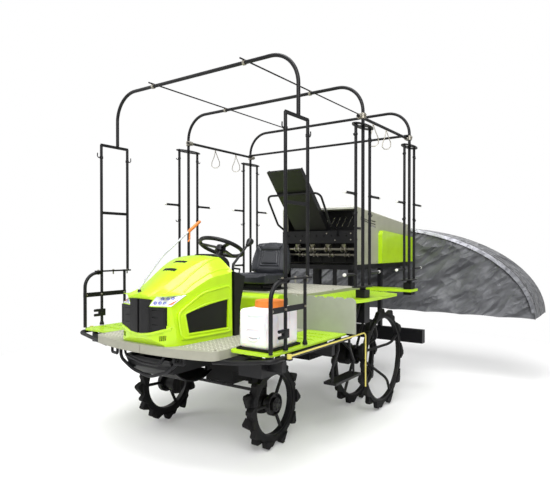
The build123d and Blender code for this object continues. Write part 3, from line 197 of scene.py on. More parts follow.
def rgb(red, green, blue):
    """Linear colour from screen values of 0 to 255."""
    return tuple(((c / 255 + 0.055) / 1.055) ** 2.4 if c > 10 else c / 3294.6 for c in (red, green, blue)) + (1.0,)


def shaded(colour, share):
    """The same colour, darker or lighter."""
    return tuple(c * share for c in colour[:3]) + (1.0,)


# Finishes


def painted(name, colour, rough=0.32, coat=0.4, dust=0.12, peel=0.02, shine=0.5):
    """Sprayed paint: faint orange peel, thin dust and rubbed patches."""
    shade = Shade(name)
    cloud = shade.noise(2.3, 4.0)
    grit = shade.noise(160.0, 2.0)
    dusty = shade.band(cloud * 0.75 + grit * 0.25, 0.46, 0.74)
    worn = shade.mix(dusty * dust, colour, rgb(178, 172, 158))
    tinted = shade.mix(shade.band(shade.noise(9.0), 0.35, 0.7), worn, shaded(colour, 0.93))
    finish = rough + dusty * 0.14 + (shade.noise(30.0) - 0.5) * 0.08
    peeled = shade.bump(shade.noise(420.0, 1.0), 0.35, peel * 0.02)
    return shade.surface(tinted, finish, peeled, coat_weight=coat, coat_roughness=0.12, specular_ior_level=shine)


def plastic(name, colour, rough=0.5, grain=0.4, scale=700.0, shine=0.5):
    """Moulded plastic with a fine grain and faint clouding."""
    shade = Shade(name)
    cloud = shade.band(shade.noise(5.0, 3.0), 0.35, 0.7)
    tint = shade.mix(cloud, colour, shaded(colour, 0.86))
    cells = shade.node("TexVoronoi", None, {"Vector": shade.place, "Scale": scale})
    height = Signal(shade, cells.outputs["Distance"]) + shade.noise(scale * 0.4, 2.0) * 0.6
    finish = rough + (shade.noise(14.0) - 0.5) * 0.12
    return shade.surface(tint, finish, shade.bump(height, grain, 0.0004), specular_ior_level=shine)


def bare_metal(name, colour, rough=0.34):
    """Machined or plated metal with fine scratches and a brown film."""
    shade = Shade(name)
    stretched = shade.mapped(stretch=(4.0, 90.0, 90.0))
    scratches = shade.noise(9.0, 4.0, 0.7, stretched)
    film = shade.band(shade.noise(7.0, 4.0), 0.5, 0.75)
    tint = shade.mix(film * 0.5, colour, rgb(120, 104, 70))
    return shade.surface(tint, rough + scratches * 0.16, shade.bump(scratches, 0.15, 0.0004), metallic=0.9)


def rubber(name):
    """Tyre rubber: matt, mottled, with a bloom of dust in the low places."""
    shade = Shade(name)
    cloud = shade.band(shade.noise(11.0, 5.0), 0.42, 0.72)
    tint = shade.mix(cloud * 0.3, rgb(20, 20, 21), rgb(50, 48, 46))
    height = shade.noise(240.0, 3.0) + shade.noise(40.0, 2.0) * 0.5
    return shade.surface(tint, 0.66 + cloud * 0.15, shade.bump(height, 0.35, 0.0008), specular_ior_level=0.2)


def castings(name, colour):
    """Painted rough casting."""
    shade = Shade(name)
    cloud = shade.band(shade.noise(6.0, 5.0), 0.4, 0.75)
    tint = shade.mix(cloud * 0.3, colour, rgb(44, 40, 35))
    pitted = shade.bump(shade.noise(190.0, 4.0), 0.4, 0.0011)
    return shade.surface(tint, 0.5 + cloud * 0.25, pitted, specular_ior_level=0.2)


def lamp_lens(name):
    """Clear lens over a bright reflector."""
    shade = Shade(name)
    flutes = (shade.axis("X") * 900.0).wave() * 0.5 + 0.5
    tint = shade.mix(flutes * 0.5, rgb(238, 236, 248), rgb(206, 206, 222))
    return shade.surface(tint, 0.16 + flutes * 0.05, shade.bump(flutes, 0.3, 0.001), coat_weight=0.6)


def woven_cloth(name, colour, pale, tone_below_sheen=None):
    """Coated hood cloth: fine weave, long slanted folds and rubbed patches; where a tone below the sheen is given, the
    colours are painted sheen, pale high up and fading downwards to that tone.
    """
    shade = Shade(name)
    parts = shade.node("SeparateXYZ", None, {0: shade.node("UVMap").outputs[0]})
    across = (Signal(shade, parts.outputs["X"]) * 2600.0).wave()
    along = (Signal(shade, parts.outputs["Y"]) * 2600.0).wave()
    cloud = shade.band(shade.noise(3.4, 5.0), 0.38, 0.72)
    tint = shade.mix(cloud * 0.5, colour, pale)
    if tone_below_sheen:
        # Painted sheen: the colours hold above 1.62 m and fade down to the darker tone by 1.20 m.
        tint = shade.mix(shade.band(shade.axis("Z"), 1.62, 1.20), tint, tone_below_sheen)
    fine = shade.bump(across * along * 0.12 + shade.noise(16.0, 5.0, 0.6), 0.4, 0.004)
    drawn = shade.mapped(shade.mapped(turn=(0.0, 0.62, 0.0)), stretch=(0.42, 1.0, 1.25))
    counter = shade.mapped(turn=(0.0, -0.5, 0.4), stretch=(0.8, 1.0, 1.0))
    folds = shade.noise(2.4, 2.6, 0.5, drawn).ridge() + shade.noise(1.7, 2.0, 0.5, counter).ridge() * 0.8
    folds = folds + shade.noise(6.5, 1.0, 0.5, drawn).ridge() * 0.30
    creased = shade.bump(folds, 1.0, 0.085, fine)
    return shade.surface(tint, 0.46 + cloud * 0.12, creased, sheen_weight=0.1)


def vinyl(name):
    """Seat covering: soft grain, sheen on the crowns."""
    shade = Shade(name)
    cells = shade.node("TexVoronoi", {"feature": "DISTANCE_TO_EDGE"}, {"Vector": shade.place, "Scale": 420.0})
    cloud = shade.band(shade.noise(7.0, 4.0), 0.35, 0.75)
    tint = shade.mix(cloud, rgb(30, 32, 37), rgb(42, 44, 50))
    height = Signal(shade, cells.outputs["Distance"]) * 2.0 + shade.noise(60.0, 3.0) * 0.4
    return shade.surface(tint, 0.34 + cloud * 0.12, shade.bump(height, 0.4, 0.0006))


def milky(name):
    """Blow-moulded tank: milky wall that lets some light through."""
    shade = Shade(name)
    cloud = shade.band(shade.noise(6.0, 4.0), 0.35, 0.7)
    tint = shade.mix(cloud * 0.6, rgb(244, 240, 243), rgb(228, 220, 226))
    finish = 0.36 + cloud * 0.1
    waved = shade.bump(shade.noise(26.0, 3.0), 0.15, 0.003)
    return shade.surface(tint, finish, waved, subsurface_weight=0.25, subsurface_scale=0.02)


def diode(name):
    """Cool bright diode under its own small lens."""
    shade = Shade(name)
    ring = shade.band(shade.noise(60.0, 1.0), 0.3, 0.7)
    tint = shade.mix(ring, rgb(104, 106, 190), rgb(150, 154, 222))
    return shade.surface(tint, 0.12 + ring * 0.05, shade.bump(ring, 0.1, 0.0005), metallic=0.2, coat_weight=0.8)


def amber_plastic(name):
    """Amber reflector with fine flutes."""
    shade = Shade(name)
    flutes = (shade.axis("Z") * 1400.0).wave() * 0.5 + 0.5
    tint = shade.mix(flutes * 0.5, rgb(226, 98, 22), rgb(168, 62, 14))
    return shade.surface(tint, 0.18 + flutes * 0.06, shade.bump(flutes, 0.3, 0.0008), coat_weight=0.8)


LIME = rgb(186, 228, 8)
MATERIALS = {}


def make_finishes():
    """Every finish by the record's slot name."""
    MATERIALS.update({
        "black_paint": painted("SatinBlackPaint", rgb(14, 14, 17), 0.42, 0.0, 0.03, 0.0, 0.28),
        "cast_metal": castings("EngineCasting", rgb(11, 11, 12)),
        "axle_iron": castings("AxleCasting", rgb(10, 10, 11)),
        "deck_plate": painted("DeckPlatePaint", rgb(156, 155, 140), 0.55, 0.0, 0.18),
        "deck_tread": painted("WornTread", rgb(206, 205, 192), 0.42, 0.0, 0.10),
        "step_tread": painted("StepTread", rgb(150, 190, 12), 0.4, 0.1, 0.05),
        "lime_paint": painted("LimePaint", rgb(176, 218, 10), 0.34, 0.3, 0.03),
        "lime_plastic": painted("LimePanelGloss", LIME, 0.3, 0.35, 0.015),
        "riser_plastic": plastic("RiserPanelPlastic", rgb(158, 161, 148), 0.62, 0.5, 420.0),
        "seat_vinyl": vinyl("GrainedVinyl"),
        "dark_plastic": plastic("DarkTrimPlastic", rgb(17, 17, 18), 0.40, 0.25, 600.0, 0.36),
        "white_tank": milky("MilkyTank"),
        "orange_cap": plastic("OrangeCapPlastic", rgb(228, 130, 48), 0.46, 0.3, 500.0),
        "housing_sheet": painted("HousingSheetPaint", rgb(166, 166, 146), 0.42, 0.15, 0.10),
        "bright_steel": bare_metal("BrightSteel", rgb(158, 154, 144)),
        "hood_cloth": woven_cloth("HoodCloth", rgb(92, 93, 97), rgb(116, 117, 121)),
        # Band cloth: its pale colours are painted sheen on the top, fading to grey lower down.
        "band_cloth": woven_cloth("BandCloth", rgb(196, 196, 206), rgb(218, 218, 226), rgb(120, 121, 126)),
        "lamp_glass": lamp_lens("LampLens"),
        "pole_plastic": plastic("PolePlastic", rgb(196, 198, 202), 0.34, 0.1, 300.0),
        "lugged_tyre": rubber("LuggedRubber"),
        "wheel_paint": painted("WheelPaint", rgb(14, 14, 16), 0.44, 0.0, 0.06, 0.02, 0.28),
        "lamp_diode": diode("LampDiode"),
        "amber_lens": amber_plastic("AmberLens"),
        "cap_white": plastic("WhiteCapPlastic", rgb(232, 231, 226), 0.38, 0.15, 300.0),
        "marker_paint": painted("MarkerPaint", rgb(214, 200, 96), 0.4, 0.2, 0.1),
    })


def finish_frame():
    """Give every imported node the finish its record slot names."""
    slots = {part["node"]: part["material_slot"] for part in frame["record"]["subparts"]}
    for name, node in NODES.items():
        node.data.materials.clear()
        node.data.materials.append(MATERIALS[slots[name]])


# Mesh forms

MOULDING_SUNK = 0.002
SOFTENED_STEP, CORNER_STEPS = 0.03, 6


def around(count):
    """Angles of equal steps round a circle."""
    return [2 * math.pi * step / count for step in range(count)]


def evaluated_copy(piece):
    """The piece's mesh with its modifiers applied."""
    bpy.context.view_layer.update()
    return bpy.data.meshes.new_from_object(piece.evaluated_get(bpy.context.evaluated_depsgraph_get()))


class Shape:
    """Points and faces of one piece, gathered from simple forms."""

    def __init__(self):
        self.points = []
        self.faces = []
        self.looks = []

    def take(self, points, faces, look=0):
        """Add points and faces, with the material slot that they use."""
        base = len(self.points)
        self.points += [Vector(point) for point in points]
        self.faces += [tuple(base + index for index in face) for face in faces]
        self.looks += [look] * len(faces)

    def rings(self, rings, caps=True, loop=False, look=0):
        """Skin over rings of equal length."""
        size = len(rings[0])
        last = len(rings) if loop else len(rings) - 1
        faces = []
        for row in range(last):
            after = (row + 1) % len(rings)
            for step in range(size):
                turn = (step + 1) % size
                faces.append((row * size + step, row * size + turn, after * size + turn, after * size + step))
        if caps and not loop:
            faces.append(tuple(reversed(range(size))))
            faces.append(tuple((len(rings) - 1) * size + step for step in range(size)))
        self.take([point for ring in rings for point in ring], faces, look)

    def lathe(self, profile, centre, axis, sides=20, look=0):
        """Turned form: pairs of radius and distance along an axis from a centre."""
        turn = Vector(axis).to_track_quat("Z", "X")
        circle = [(math.cos(angle), math.sin(angle)) for angle in around(sides)]
        rings = [[Vector(centre) + turn @ Vector((r * c, r * d, h)) for c, d in circle] for r, h in profile]
        self.rings(rings, look=look)

    def tube(self, path, radius, sides=10, loop=False):
        """Round bar along a path."""
        path = [Vector(point) for point in path]
        count = len(path)
        rings = []
        normal = None
        for k, point in enumerate(path):
            before = path[k - 1] if k or loop else point
            after = path[(k + 1) % count] if k < count - 1 or loop else point
            along = (after - before).normalized()
            if normal is None:
                normal = along.orthogonal().normalized()
            normal = (normal - along * normal.dot(along)).normalized()
            across = along.cross(normal)
            rings.append([
                point + (normal * math.cos(angle) + across * math.sin(angle)) * radius for angle in around(sides)
            ])
        self.rings(rings, loop=loop)

    def bead(self, trail, half, height, loop=False):
        """Low rounded moulding along a trail of places and the skin's normals there."""
        rings = []
        count = len(trail)
        foot, crown = -MOULDING_SUNK, height * 0.85
        section = ((-1, foot), (-0.9, 0), (-0.5, crown), (0, height), (0.5, crown), (0.9, 0), (1, foot))
        for k, (at, normal) in enumerate(trail):
            before = trail[k - 1][0] if k or loop else at
            after = trail[(k + 1) % count][0] if k < count - 1 or loop else at
            across = normal.cross(after - before).normalized()
            rings.append([at + across * half * side + normal * level for side, level in section])
        self.rings(rings, loop=loop)

    def block(self, low, high, edge):
        """Box with rounded edges."""
        low, high = Vector(low), Vector(high)
        work = bmesh.new()
        bmesh.ops.create_cube(work, size=1.0)
        for vert in work.verts:
            vert.co = (low + high) / 2 + Vector(a * b for a, b in zip(vert.co, high - low))
        bmesh.ops.bevel(work, geom=work.edges[:], offset=edge, segments=2, profile=0.6, affect="EDGES")
        self.take([v.co.copy() for v in work.verts], [[v.index for v in f.verts] for f in work.faces])
        work.free()

    def bolt(self, at, axis, size):
        """Hexagon head on its washer."""
        turn = Vector(axis).to_track_quat("Z", "X")
        washer = ((0.0001, 0.0), (size * 1.25, 0.0), (size * 1.2, size * 0.28), (0.0001, size * 0.28))
        self.lathe(washer, at, axis, 14)
        hexagon = [Vector((size * math.cos(angle), size * math.sin(angle), 0)) for angle in around(6)]
        self.rings([
            [Vector(at) + turn @ (point * wide + Vector((0, 0, size * high))) for point in hexagon]
            for wide, high in ((1.0, 0.25), (1.0, 0.85), (0.8, 1.0))
        ])

    def build(self, name, slots, body, sharp=34.0):
        """Make the piece, with its finishes, on its body."""
        mesh = bpy.data.meshes.new(name)
        mesh.from_pydata([tuple(p) for p in self.points], [], self.faces)
        mesh.polygons.foreach_set("material_index", self.looks)
        mesh.update()
        work = bmesh.new()
        work.from_mesh(mesh)
        bmesh.ops.recalc_face_normals(work, faces=work.faces[:])
        work.to_mesh(mesh)
        work.free()
        mesh.shade_smooth()
        mesh.set_sharp_from_angle(angle=math.radians(sharp))
        return place(bpy.data.objects.new(name, mesh), slots, body)


def place(piece, slots, body):
    """Put a piece in the scene with its finishes, riding on its body."""
    slots = slots if isinstance(slots, tuple) else (slots,)
    for slot in slots:
        piece.data.materials.append(MATERIALS[slot])
    bpy.context.scene.collection.objects.link(piece)
    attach(piece, body)
    slots[0] in PACKED_SLOTS
    return piece


def arc(centre, radius, start, end, steps, plane="XZ"):
    """Points on a circle between two angles in degrees, in the plane XZ or YZ."""
    points = []
    for step in range(steps + 1):
        angle = math.radians(start + (end - start) * step / steps)
        first, second = radius * math.cos(angle), radius * math.sin(angle)
        points.append(Vector(centre) + Vector((first, 0, second) if plane == "XZ" else (0, first, second)))
    return points


def softened(points, radius=0.03, loop=False):
    """Run of points with rounded corners and short steps along its straights."""
    run = [] if loop else [points[0]]
    corners = range(len(points)) if loop else range(1, len(points) - 1)
    for k in corners:
        before, corner, after = points[k - 1], points[k], points[(k + 1) % len(points)]
        start = corner + (before - corner).normalized() * min(radius, (before - corner).length / 2.2)
        end = corner + (after - corner).normalized() * min(radius, (after - corner).length / 2.2)
        for step in range(CORNER_STEPS + 1):
            t = step / CORNER_STEPS
            run.append(start * (1 - t) ** 2 + corner * 2 * t * (1 - t) + end * t * t)
    run += run[:1] if loop else [points[-1]]
    path = []
    for start, end in zip(run, run[1:]):
        steps = max(1, round((end - start).length / SOFTENED_STEP))
        path += [start.lerp(end, step / steps) for step in range(steps)]
    return path if loop else [*path, run[-1]]


def cast(node, origins, direction):
    """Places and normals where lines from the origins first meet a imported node."""
    bpy.context.view_layer.update()
    trail = []
    for origin in origins:
        met, at, normal, _ = NODES[node].ray_cast(origin, Vector(direction))
        if met:
            trail.append((at, normal))
    return trail


def held_back(trail, height):
    """The trail, moved back where a moulding of that height would stand out past the CAD model's front."""
    front = CAD_LOW.y + height + 0.0005
    return [(Vector((at.x, max(at.y, front), at.z)), normal) for at, normal in trail]


# Scattered studs, grown by geometry nodes on a grid


STUD_SOCKETS = (
    ("Geometry", "Geometry", "INPUT"), ("Width", "Float", "INPUT"), ("Length", "Float", "INPUT"),
    ("Columns", "Int", "INPUT"), ("Rows", "Int", "INPUT"), ("Geometry", "Geometry", "OUTPUT"),
)
STUD_NODES = (
    ("in", "NodeGroupInput"), ("out", "NodeGroupOutput"), ("grid", "GeometryNodeMeshGrid"),
    ("move", "GeometryNodeTransform"), ("points", "GeometryNodeInstanceOnPoints"),
    ("stud", "GeometryNodeMeshUVSphere"), ("shape", "GeometryNodeTransform"), ("index", "GeometryNodeInputIndex"),
    ("odd", "ShaderNodeMath"), ("angle", "ShaderNodeMath"), ("turn", "ShaderNodeCombineXYZ"),
    ("wobble", "FunctionNodeRandomValue"), ("sum", "ShaderNodeMath"), ("real", "GeometryNodeRealizeInstances"),
    ("paint", "GeometryNodeSetMaterial"), ("smooth", "GeometryNodeSetShadeSmooth"),
)
STUD_LINKS = (
    ("in", "Width", "grid", "Size X"), ("in", "Length", "grid", "Size Y"), ("in", "Columns", "grid", "Vertices X"),
    ("in", "Rows", "grid", "Vertices Y"), ("grid", "Mesh", "move", "Geometry"),
    ("move", "Geometry", "points", "Points"), ("stud", "Mesh", "shape", "Geometry"),
    ("shape", "Geometry", "points", "Instance"), ("index", "Index", "odd", 0), ("odd", 0, "angle", 0),
    ("angle", 0, "sum", 0), ("wobble", 1, "sum", 1), ("sum", 0, "turn", "Z"),
    ("turn", 0, "points", "Rotation"), ("points", "Instances", "real", "Geometry"),
    ("real", "Geometry", "smooth", "Geometry"), ("smooth", "Geometry", "paint", "Geometry"),
    ("paint", "Geometry", "out", "Geometry"),
)
WOBBLE_SEED, WOBBLE = 7, 0.03
STUD_SIDES, STUD_RINGS = 8, 5


def stud_group(name, middle, stud, turn, slot):
    """Node group that sets a stud on each point of a grid, every other one turned further."""
    group = bpy.data.node_groups.new(name + "Nodes", "GeometryNodeTree")
    for label, kind, way in STUD_SOCKETS:
        group.interface.new_socket(label, in_out=way, socket_type="NodeSocket" + kind)
    made = {key: group.nodes.new(kind) for key, kind in STUD_NODES}
    made["odd"].operation = "MODULO"
    made["angle"].operation = "MULTIPLY_ADD"
    for key, socket, value in (
        ("odd", 1, 2.0), ("angle", 1, math.radians(turn[1])), ("angle", 2, math.radians(turn[0])),
        ("wobble", "Seed", WOBBLE_SEED), ("wobble", 2, -WOBBLE), ("wobble", 3, WOBBLE),
        ("stud", "Segments", STUD_SIDES), ("stud", "Rings", STUD_RINGS), ("stud", "Radius", 1.0),
        ("shape", "Scale", stud), ("move", "Translation", middle), ("paint", "Material", MATERIALS[slot]),
    ):
        made[key].inputs[socket].default_value = value
    for source, output, target, entry in STUD_LINKS:
        group.links.new(made[source].outputs[output], made[target].inputs[entry])
    return group


def studded(name, area, level, pitch, stud, turn, slot, body):
    """Rows of low studs on a flat deck, made by a node group and turned into a plain mesh."""
    low_x, low_y, high_x, high_y = area
    width, length = high_x - low_x, high_y - low_y
    values = {
        "Width": width, "Length": length,
        "Columns": max(2, round(width / pitch) | 1), "Rows": max(2, round(length / pitch)),
    }
    piece = bpy.data.objects.new(name, bpy.data.meshes.new(name + "Seed"))
    bpy.context.scene.collection.objects.link(piece)
    grown = piece.modifiers.new("Studs", "NODES")
    grown.node_group = stud_group(name, ((low_x + high_x) / 2, (low_y + high_y) / 2, level), stud, turn, slot)
    for item in grown.node_group.interface.items_tree:
        if item.name in values and item.in_out == "INPUT":
            grown[item.identifier] = values[item.name]
    mesh = evaluated_copy(piece)
    piece.modifiers.clear()
    piece.data = mesh
    mesh.name = name
    if not mesh.materials:
        mesh.materials.append(MATERIALS[slot])
    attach(piece, body)


# Decks

DECK_LEVEL, UPPER_LEVEL, SIDE_LEVEL = 0.8398, 1.1298, 1.1048
STAGGERED, STRAIGHT = (-45.0, 90.0), (0.0, 0.0)
LOZENGE, STEP_STUD, SIDE_STUD = (0.0135, 0.0048, 0.0026), (0.0065, 0.0065, 0.0030), (0.0075, 0.0075, 0.0030)
DECK_TREADS = (
    # name, area, level, pitch, stud's half sizes, turn, finish
    ("FrontDeckTread", (-0.58, -2.17, 0.58, -1.21), DECK_LEVEL, 0.037, LOZENGE, STAGGERED, "deck_tread"),
    ("UpperDeckTread", (-0.57, -1.02, 0.57, -0.09), UPPER_LEVEL, 0.037, LOZENGE, STAGGERED, "deck_tread"),
    ("LeftStepStuds", (0.65, -1.60, 0.955, -1.08), DECK_LEVEL, 0.030, STEP_STUD, STRAIGHT, "step_tread"),
    ("RightStepStuds", (-0.955, -2.00, -0.65, -1.08), DECK_LEVEL, 0.030, STEP_STUD, STRAIGHT, "step_tread"),
    ("LeftSideDeckStuds", (0.66, -0.96, 0.93, -0.16), SIDE_LEVEL, 0.034, SIDE_STUD, STRAIGHT, "step_tread"),
    ("RightSideDeckStuds", (-0.93, -0.96, -0.66, -0.16), SIDE_LEVEL, 0.034, SIDE_STUD, STRAIGHT, "step_tread"),
)
DECK_SCREWS = (
    # place across, places along, level
    (0.585, (-2.15, -1.72, -1.28), DECK_LEVEL),
    (0.56, (-0.98, -0.52, -0.12), UPPER_LEVEL),
)
SCREW_PROUD = 0.0004
DECK_SEAM = (-0.0025, -2.2925, 0.786), (0.0025, -2.288, 0.838)
HOOK_LINE = (
    (0.300, -2.245, 0.838), (0.300, -2.245, 0.742), (0.306, -2.2445, 0.735),
    (0.374, -2.231, 0.735), (0.380, -2.230, 0.742), (0.380, -2.230, 0.838),
)
HOOK_SLEEVE_R = 0.0105


class DressDecks(bpy.types.Operator):
    """Grow the tread on the decks and steps, lay the deck's middle seam and screws, and sleeve its tie-down hooks"""

    bl_idname = "broadcaster.dress_decks"
    bl_label = "Dress Decks"

    def execute(self, context):
        for name, area, level, pitch, stud, turn, finish in DECK_TREADS:
            studded(name, area, level, pitch, stud, turn, finish, "root")
        seam = Shape()
        seam.block(*DECK_SEAM, 0.0006)
        for across, places, level in DECK_SCREWS:
            for side, _ in reversed(SIDES):
                for y in places:
                    seam.bolt((side * across, y, level + SCREW_PROUD), (0, 0, 1), 0.007)
        seam.build("DeckSeamAndScrews", "bright_steel", "root")
        hooks = Shape()
        for side, _ in SIDES:
            hooks.tube([(side * x, y, z) for x, y, z in HOOK_LINE], HOOK_SLEEVE_R, 10)
        hooks.build("DeckHookSleeves", "black_paint", "root")
        return {"FINISHED"}


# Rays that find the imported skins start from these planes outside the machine's nose
AHEAD, ASIDE, ABOVE = -2.6, 0.6, 1.7
GUARD_LINES = (
    # places across and up, radius
    (((-0.30, 0.772), (-0.30, 0.70), (-0.16, 0.63), (0.02, 0.60), (0.20, 0.655), (0.31, 0.74), (0.31, 0.772)), 0.012),
    (((-0.22, 0.772), (-0.21, 0.735), (-0.04, 0.70), (0.14, 0.70), (0.20, 0.772)), 0.009),
)


class DressUnderside(bpy.types.Operator):
    """Bend the guard tubes round the front of the engine, under the deck"""

    bl_idname = "broadcaster.dress_underside"
    bl_label = "Dress Underside"

    def execute(self, context):
        guards = Shape()
        for line, radius in GUARD_LINES:
            path = softened([Vector((x, AHEAD, z)) for x, z in line], 0.05)
            met = cast("engine_and_gearbox", path, (0, 1, 0)) + cast("chassis_frame", path, (0, 1, 0))
            front = min(at.y for at, _ in met) - radius - 0.002
            guards.tube([(at.x, front, at.z) for at in path], radius, 10)
        guards.build("EngineGuardTubes", "black_paint", "root", 60)
        return {"FINISHED"}


# Hood

FLANK_LINE = ((-2.150, 0.884), (-2.172, 1.060), (-1.946, 1.192), (-1.684, 1.232), (-1.676, 0.884))
WINDOW_LINE = ((-2.098, 0.909), (-2.117, 1.054), (-1.930, 1.108), (-1.696, 1.135), (-1.708, 0.907))
SHOULDER_LINE = ((-2.090, 1.205), (-2.000, 1.262), (-1.880, 1.322), (-1.760, 1.352), (-1.662, 1.356))
SIDE_MOULDINGS = (
    # places along and up, half width, height, corner radius, closed
    (FLANK_LINE, 0.010, 0.0042, 0.045, True),
    (WINDOW_LINE, 0.006, 0.0034, 0.014, True),
    (SHOULDER_LINE, 0.009, 0.0034, 0.045, False),
)
BONNET_LINE = ((0.160, -2.225), (0.172, -2.110), (0.186, -1.960), (0.190, -1.800), (0.182, -1.668))
CHIN_LINE = ((0.0, 0.910), (0.110, 0.922), (0.232, 0.956), (0.262, 0.985))
CHEEK_LINE = ((0.236, 0.962), (0.236, 1.040), (0.238, 1.100))
CHEEK_REAR_Y = -2.15
GRILLE_LINES = (
    ((0.024, 0.945), (0.024, 1.150)), ((0.100, 0.950), (0.100, 1.096)), ((0.106, 1.098), (0.222, 1.098)),
    ((0.030, 1.100), (0.090, 1.104)), ((0.215, 0.980), (0.215, 1.092)),
)
TRIM_HEIGHT = 0.0030
TOP_SLOT_YS = (-2.004, -1.897)
TOP_SLOT_XS = (-0.064, -0.03, 0.0, 0.03, 0.064)
TOP_SLOT_BACK_XS = (-0.066, -0.03, 0.0, 0.03, 0.066)
TOP_SLOT_ASIDE = 0.020
CHIN_SLOT_XS = (0.176, 0.189, 0.202, 0.215)
CHIN_SLOT_LINE = ((0.878, 0), (0.894, 0.001), (0.911, 0.002))
LAMP_CORNERS = (
    Vector((0.100, -2.288, 1.117)), Vector((0.150, -2.266, 1.182)),
    Vector((0.250, -2.232, 1.116)), Vector((0.257, -2.096, 1.186)),
)
DIODE_ROWS = ((0.30, (0.16, 0.36, 0.56)), (0.72, (0.30, 0.50, 0.68)))
DIODE_DOME = ((0.0001, 0.005), (0.007, 0.0043), (0.012, 0.0016), (0.0142, -0.002))
DIODE_RIM = ((0.0185, -0.001), (0.0190, 0.002), (0.0170, 0.0026), (0.0155, -0.001))
AMBER_CORNERS = ((0.80, 0.10), (0.97, 0.12), (0.97, 0.62), (0.86, 0.30))
GRIP_TIP, GRIP_TAIL = Vector((0.0, -1.690, 1.722)), Vector((0.0, -1.849, 1.615))
GRIP_PROFILE = (
    (0.0085, -0.150), (0.0125, -0.145), (0.0130, -0.06), (0.0115, -0.02), (0.0125, 0.0), (0.0095, 0.0085),
    (0.0001, 0.009),
)
GRIP_TAB = ((0, 0), (0.004, -0.016), (0.003, -0.060), (-0.003, -0.075), (-0.014, -0.079))
POLE_FOOT = (-0.030, -2.2655, 1.2075)
POLE_BUSH = ((0.0001, 0.0), (0.013, 0.0), (0.0115, 0.012), (0.0085, 0.016), (0.0001, 0.016))


def lamp_point(side, share, row):
    """Place and outward direction on a lamp's twisted face, by share across and share up."""
    low_in, high_in, low_out, high_out = LAMP_CORNERS
    inner, outer = low_in.lerp(high_in, row), low_out.lerp(high_out, row)
    at = inner.lerp(outer, share)
    up = low_in.lerp(low_out, share) - high_in.lerp(high_out, share)
    outward = (outer - inner).cross(up).normalized()
    if outward.y > 0:
        outward = -outward
    return Vector((side * at.x, at.y, at.z)), Vector((side * outward.x, outward.y, outward.z))


class DressHood(bpy.types.Operator):
    """Fit the lamp units, amber corners, mouldings, slot backs and the sight pole's orange grip"""

    bl_idname = "broadcaster.dress_hood"
    bl_label = "Dress Hood"

    def execute(self, context):
        self.mouldings()
        self.dark_trim()
        self.lamps()
        self.pole_grip()
        return {"FINISHED"}

    def mouldings(self):
        """Raised lines pressed into the hood's flanks, shoulders, top and chin."""
        for side, hand in SIDES:
            lines = Shape()
            for line, half, height, corner, closed in SIDE_MOULDINGS:
                path = softened([Vector((side * ASIDE, y, z)) for y, z in line], corner, closed)
                trail = cast("hood", path, (-side, 0, 0))
                if len(trail) > 3:
                    lines.bead(trail, half, height, loop=closed and len(trail) == len(path))
            path = softened([Vector((side * x, y, ABOVE)) for x, y in BONNET_LINE], 0.05)
            lines.bead(cast("hood", path, (0, 0, -1)), 0.009, 0.0034)
            for line in (CHIN_LINE, CHEEK_LINE):
                path = softened([Vector((side * x, AHEAD, z)) for x, z in line])
                trail = [(at, normal) for at, normal in cast("hood", path, (0, 1, 0)) if at.y < CHEEK_REAR_Y]
                lines.bead(held_back(trail, TRIM_HEIGHT), 0.006, TRIM_HEIGHT)
            lines.build(f"HoodMouldings_{hand}", "lime_plastic", "hood", 60)

    def dark_trim(self):
        """Dark lips and backs of the slots, and the grille's ridges."""
        dark = Shape()
        for y in TOP_SLOT_YS:
            for across in (-0.0115, 0.0115):
                path = [Vector((x, y + across, ABOVE)) for x in TOP_SLOT_XS]
                dark.bead(cast("hood", path, (0, 0, -1)), 0.0045, 0.0012)
            beside = cast("hood", [Vector((x, y + TOP_SLOT_ASIDE, ABOVE)) for x in TOP_SLOT_BACK_XS], (0, 0, -1))
            back = [(at - normal * 0.0095 - Vector((0, TOP_SLOT_ASIDE, 0)), normal) for at, normal in beside]
            dark.bead(back, 0.012, 0.001)
        for side, _ in SIDES:
            for x in CHIN_SLOT_XS:
                rise = (x - CHIN_SLOT_XS[0]) * 0.15
                path = [Vector((side * (x + 0.0055 + lean), AHEAD, z + rise)) for z, lean in CHIN_SLOT_LINE]
                dark.bead(cast("hood", path, (0, 1, 0)), 0.0028, 0.0010)
        for side, _ in SIDES:
            for line in GRILLE_LINES:
                path = softened([Vector((side * x, AHEAD, z)) for x, z in line], 0.01)
                dark.bead(held_back(cast("grilles", path, (0, 1, 0)), TRIM_HEIGHT), 0.0042, TRIM_HEIGHT)
        dark.build("HoodDarkTrim", "dark_plastic", "hood")

    def lamps(self):
        """Six diodes and an amber corner in each lamp."""
        diodes, amber = Shape(), Shape()
        for side, _ in SIDES:
            for row, shares in DIODE_ROWS:
                for share in shares:
                    at, outward = lamp_point(side, share, row)
                    diodes.lathe(DIODE_DOME, at, outward, 16)
                    diodes.lathe(DIODE_RIM, at, outward, 18, 1)
            corners = [lamp_point(side, share, row) for share, row in AMBER_CORNERS]
            middle = sum((at for at, _ in corners), Vector()) / len(corners)
            amber.rings([
                [at + outward * 0.0012 for at, outward in corners],
                [at + outward * 0.0032 + (middle - at) * 0.15 for at, outward in corners],
            ])
        diodes.build("LampDiodes", ("lamp_diode", "lamp_glass"), "hood")
        amber.build("AmberCorners", "amber_lens", "hood")

    def pole_grip(self):
        """Orange grip with its hanging tab on the sight pole's tip, and the pole's dark foot."""
        grip = Shape()
        along = (GRIP_TIP - GRIP_TAIL).normalized()
        grip.lathe(GRIP_PROFILE, GRIP_TIP, along, 18)
        root = GRIP_TIP - along * 0.135
        grip.tube([root + Vector((0, y, z)) for y, z in GRIP_TAB], 0.0062, 10)
        grip.build("SightPoleGrip", "orange_cap", "hood")
        foot = Shape()
        foot.lathe(POLE_BUSH, POLE_FOOT, (0, -0.05, 1), 16)
        foot.build("SightPoleFoot", "dark_plastic", "hood")


# Tank

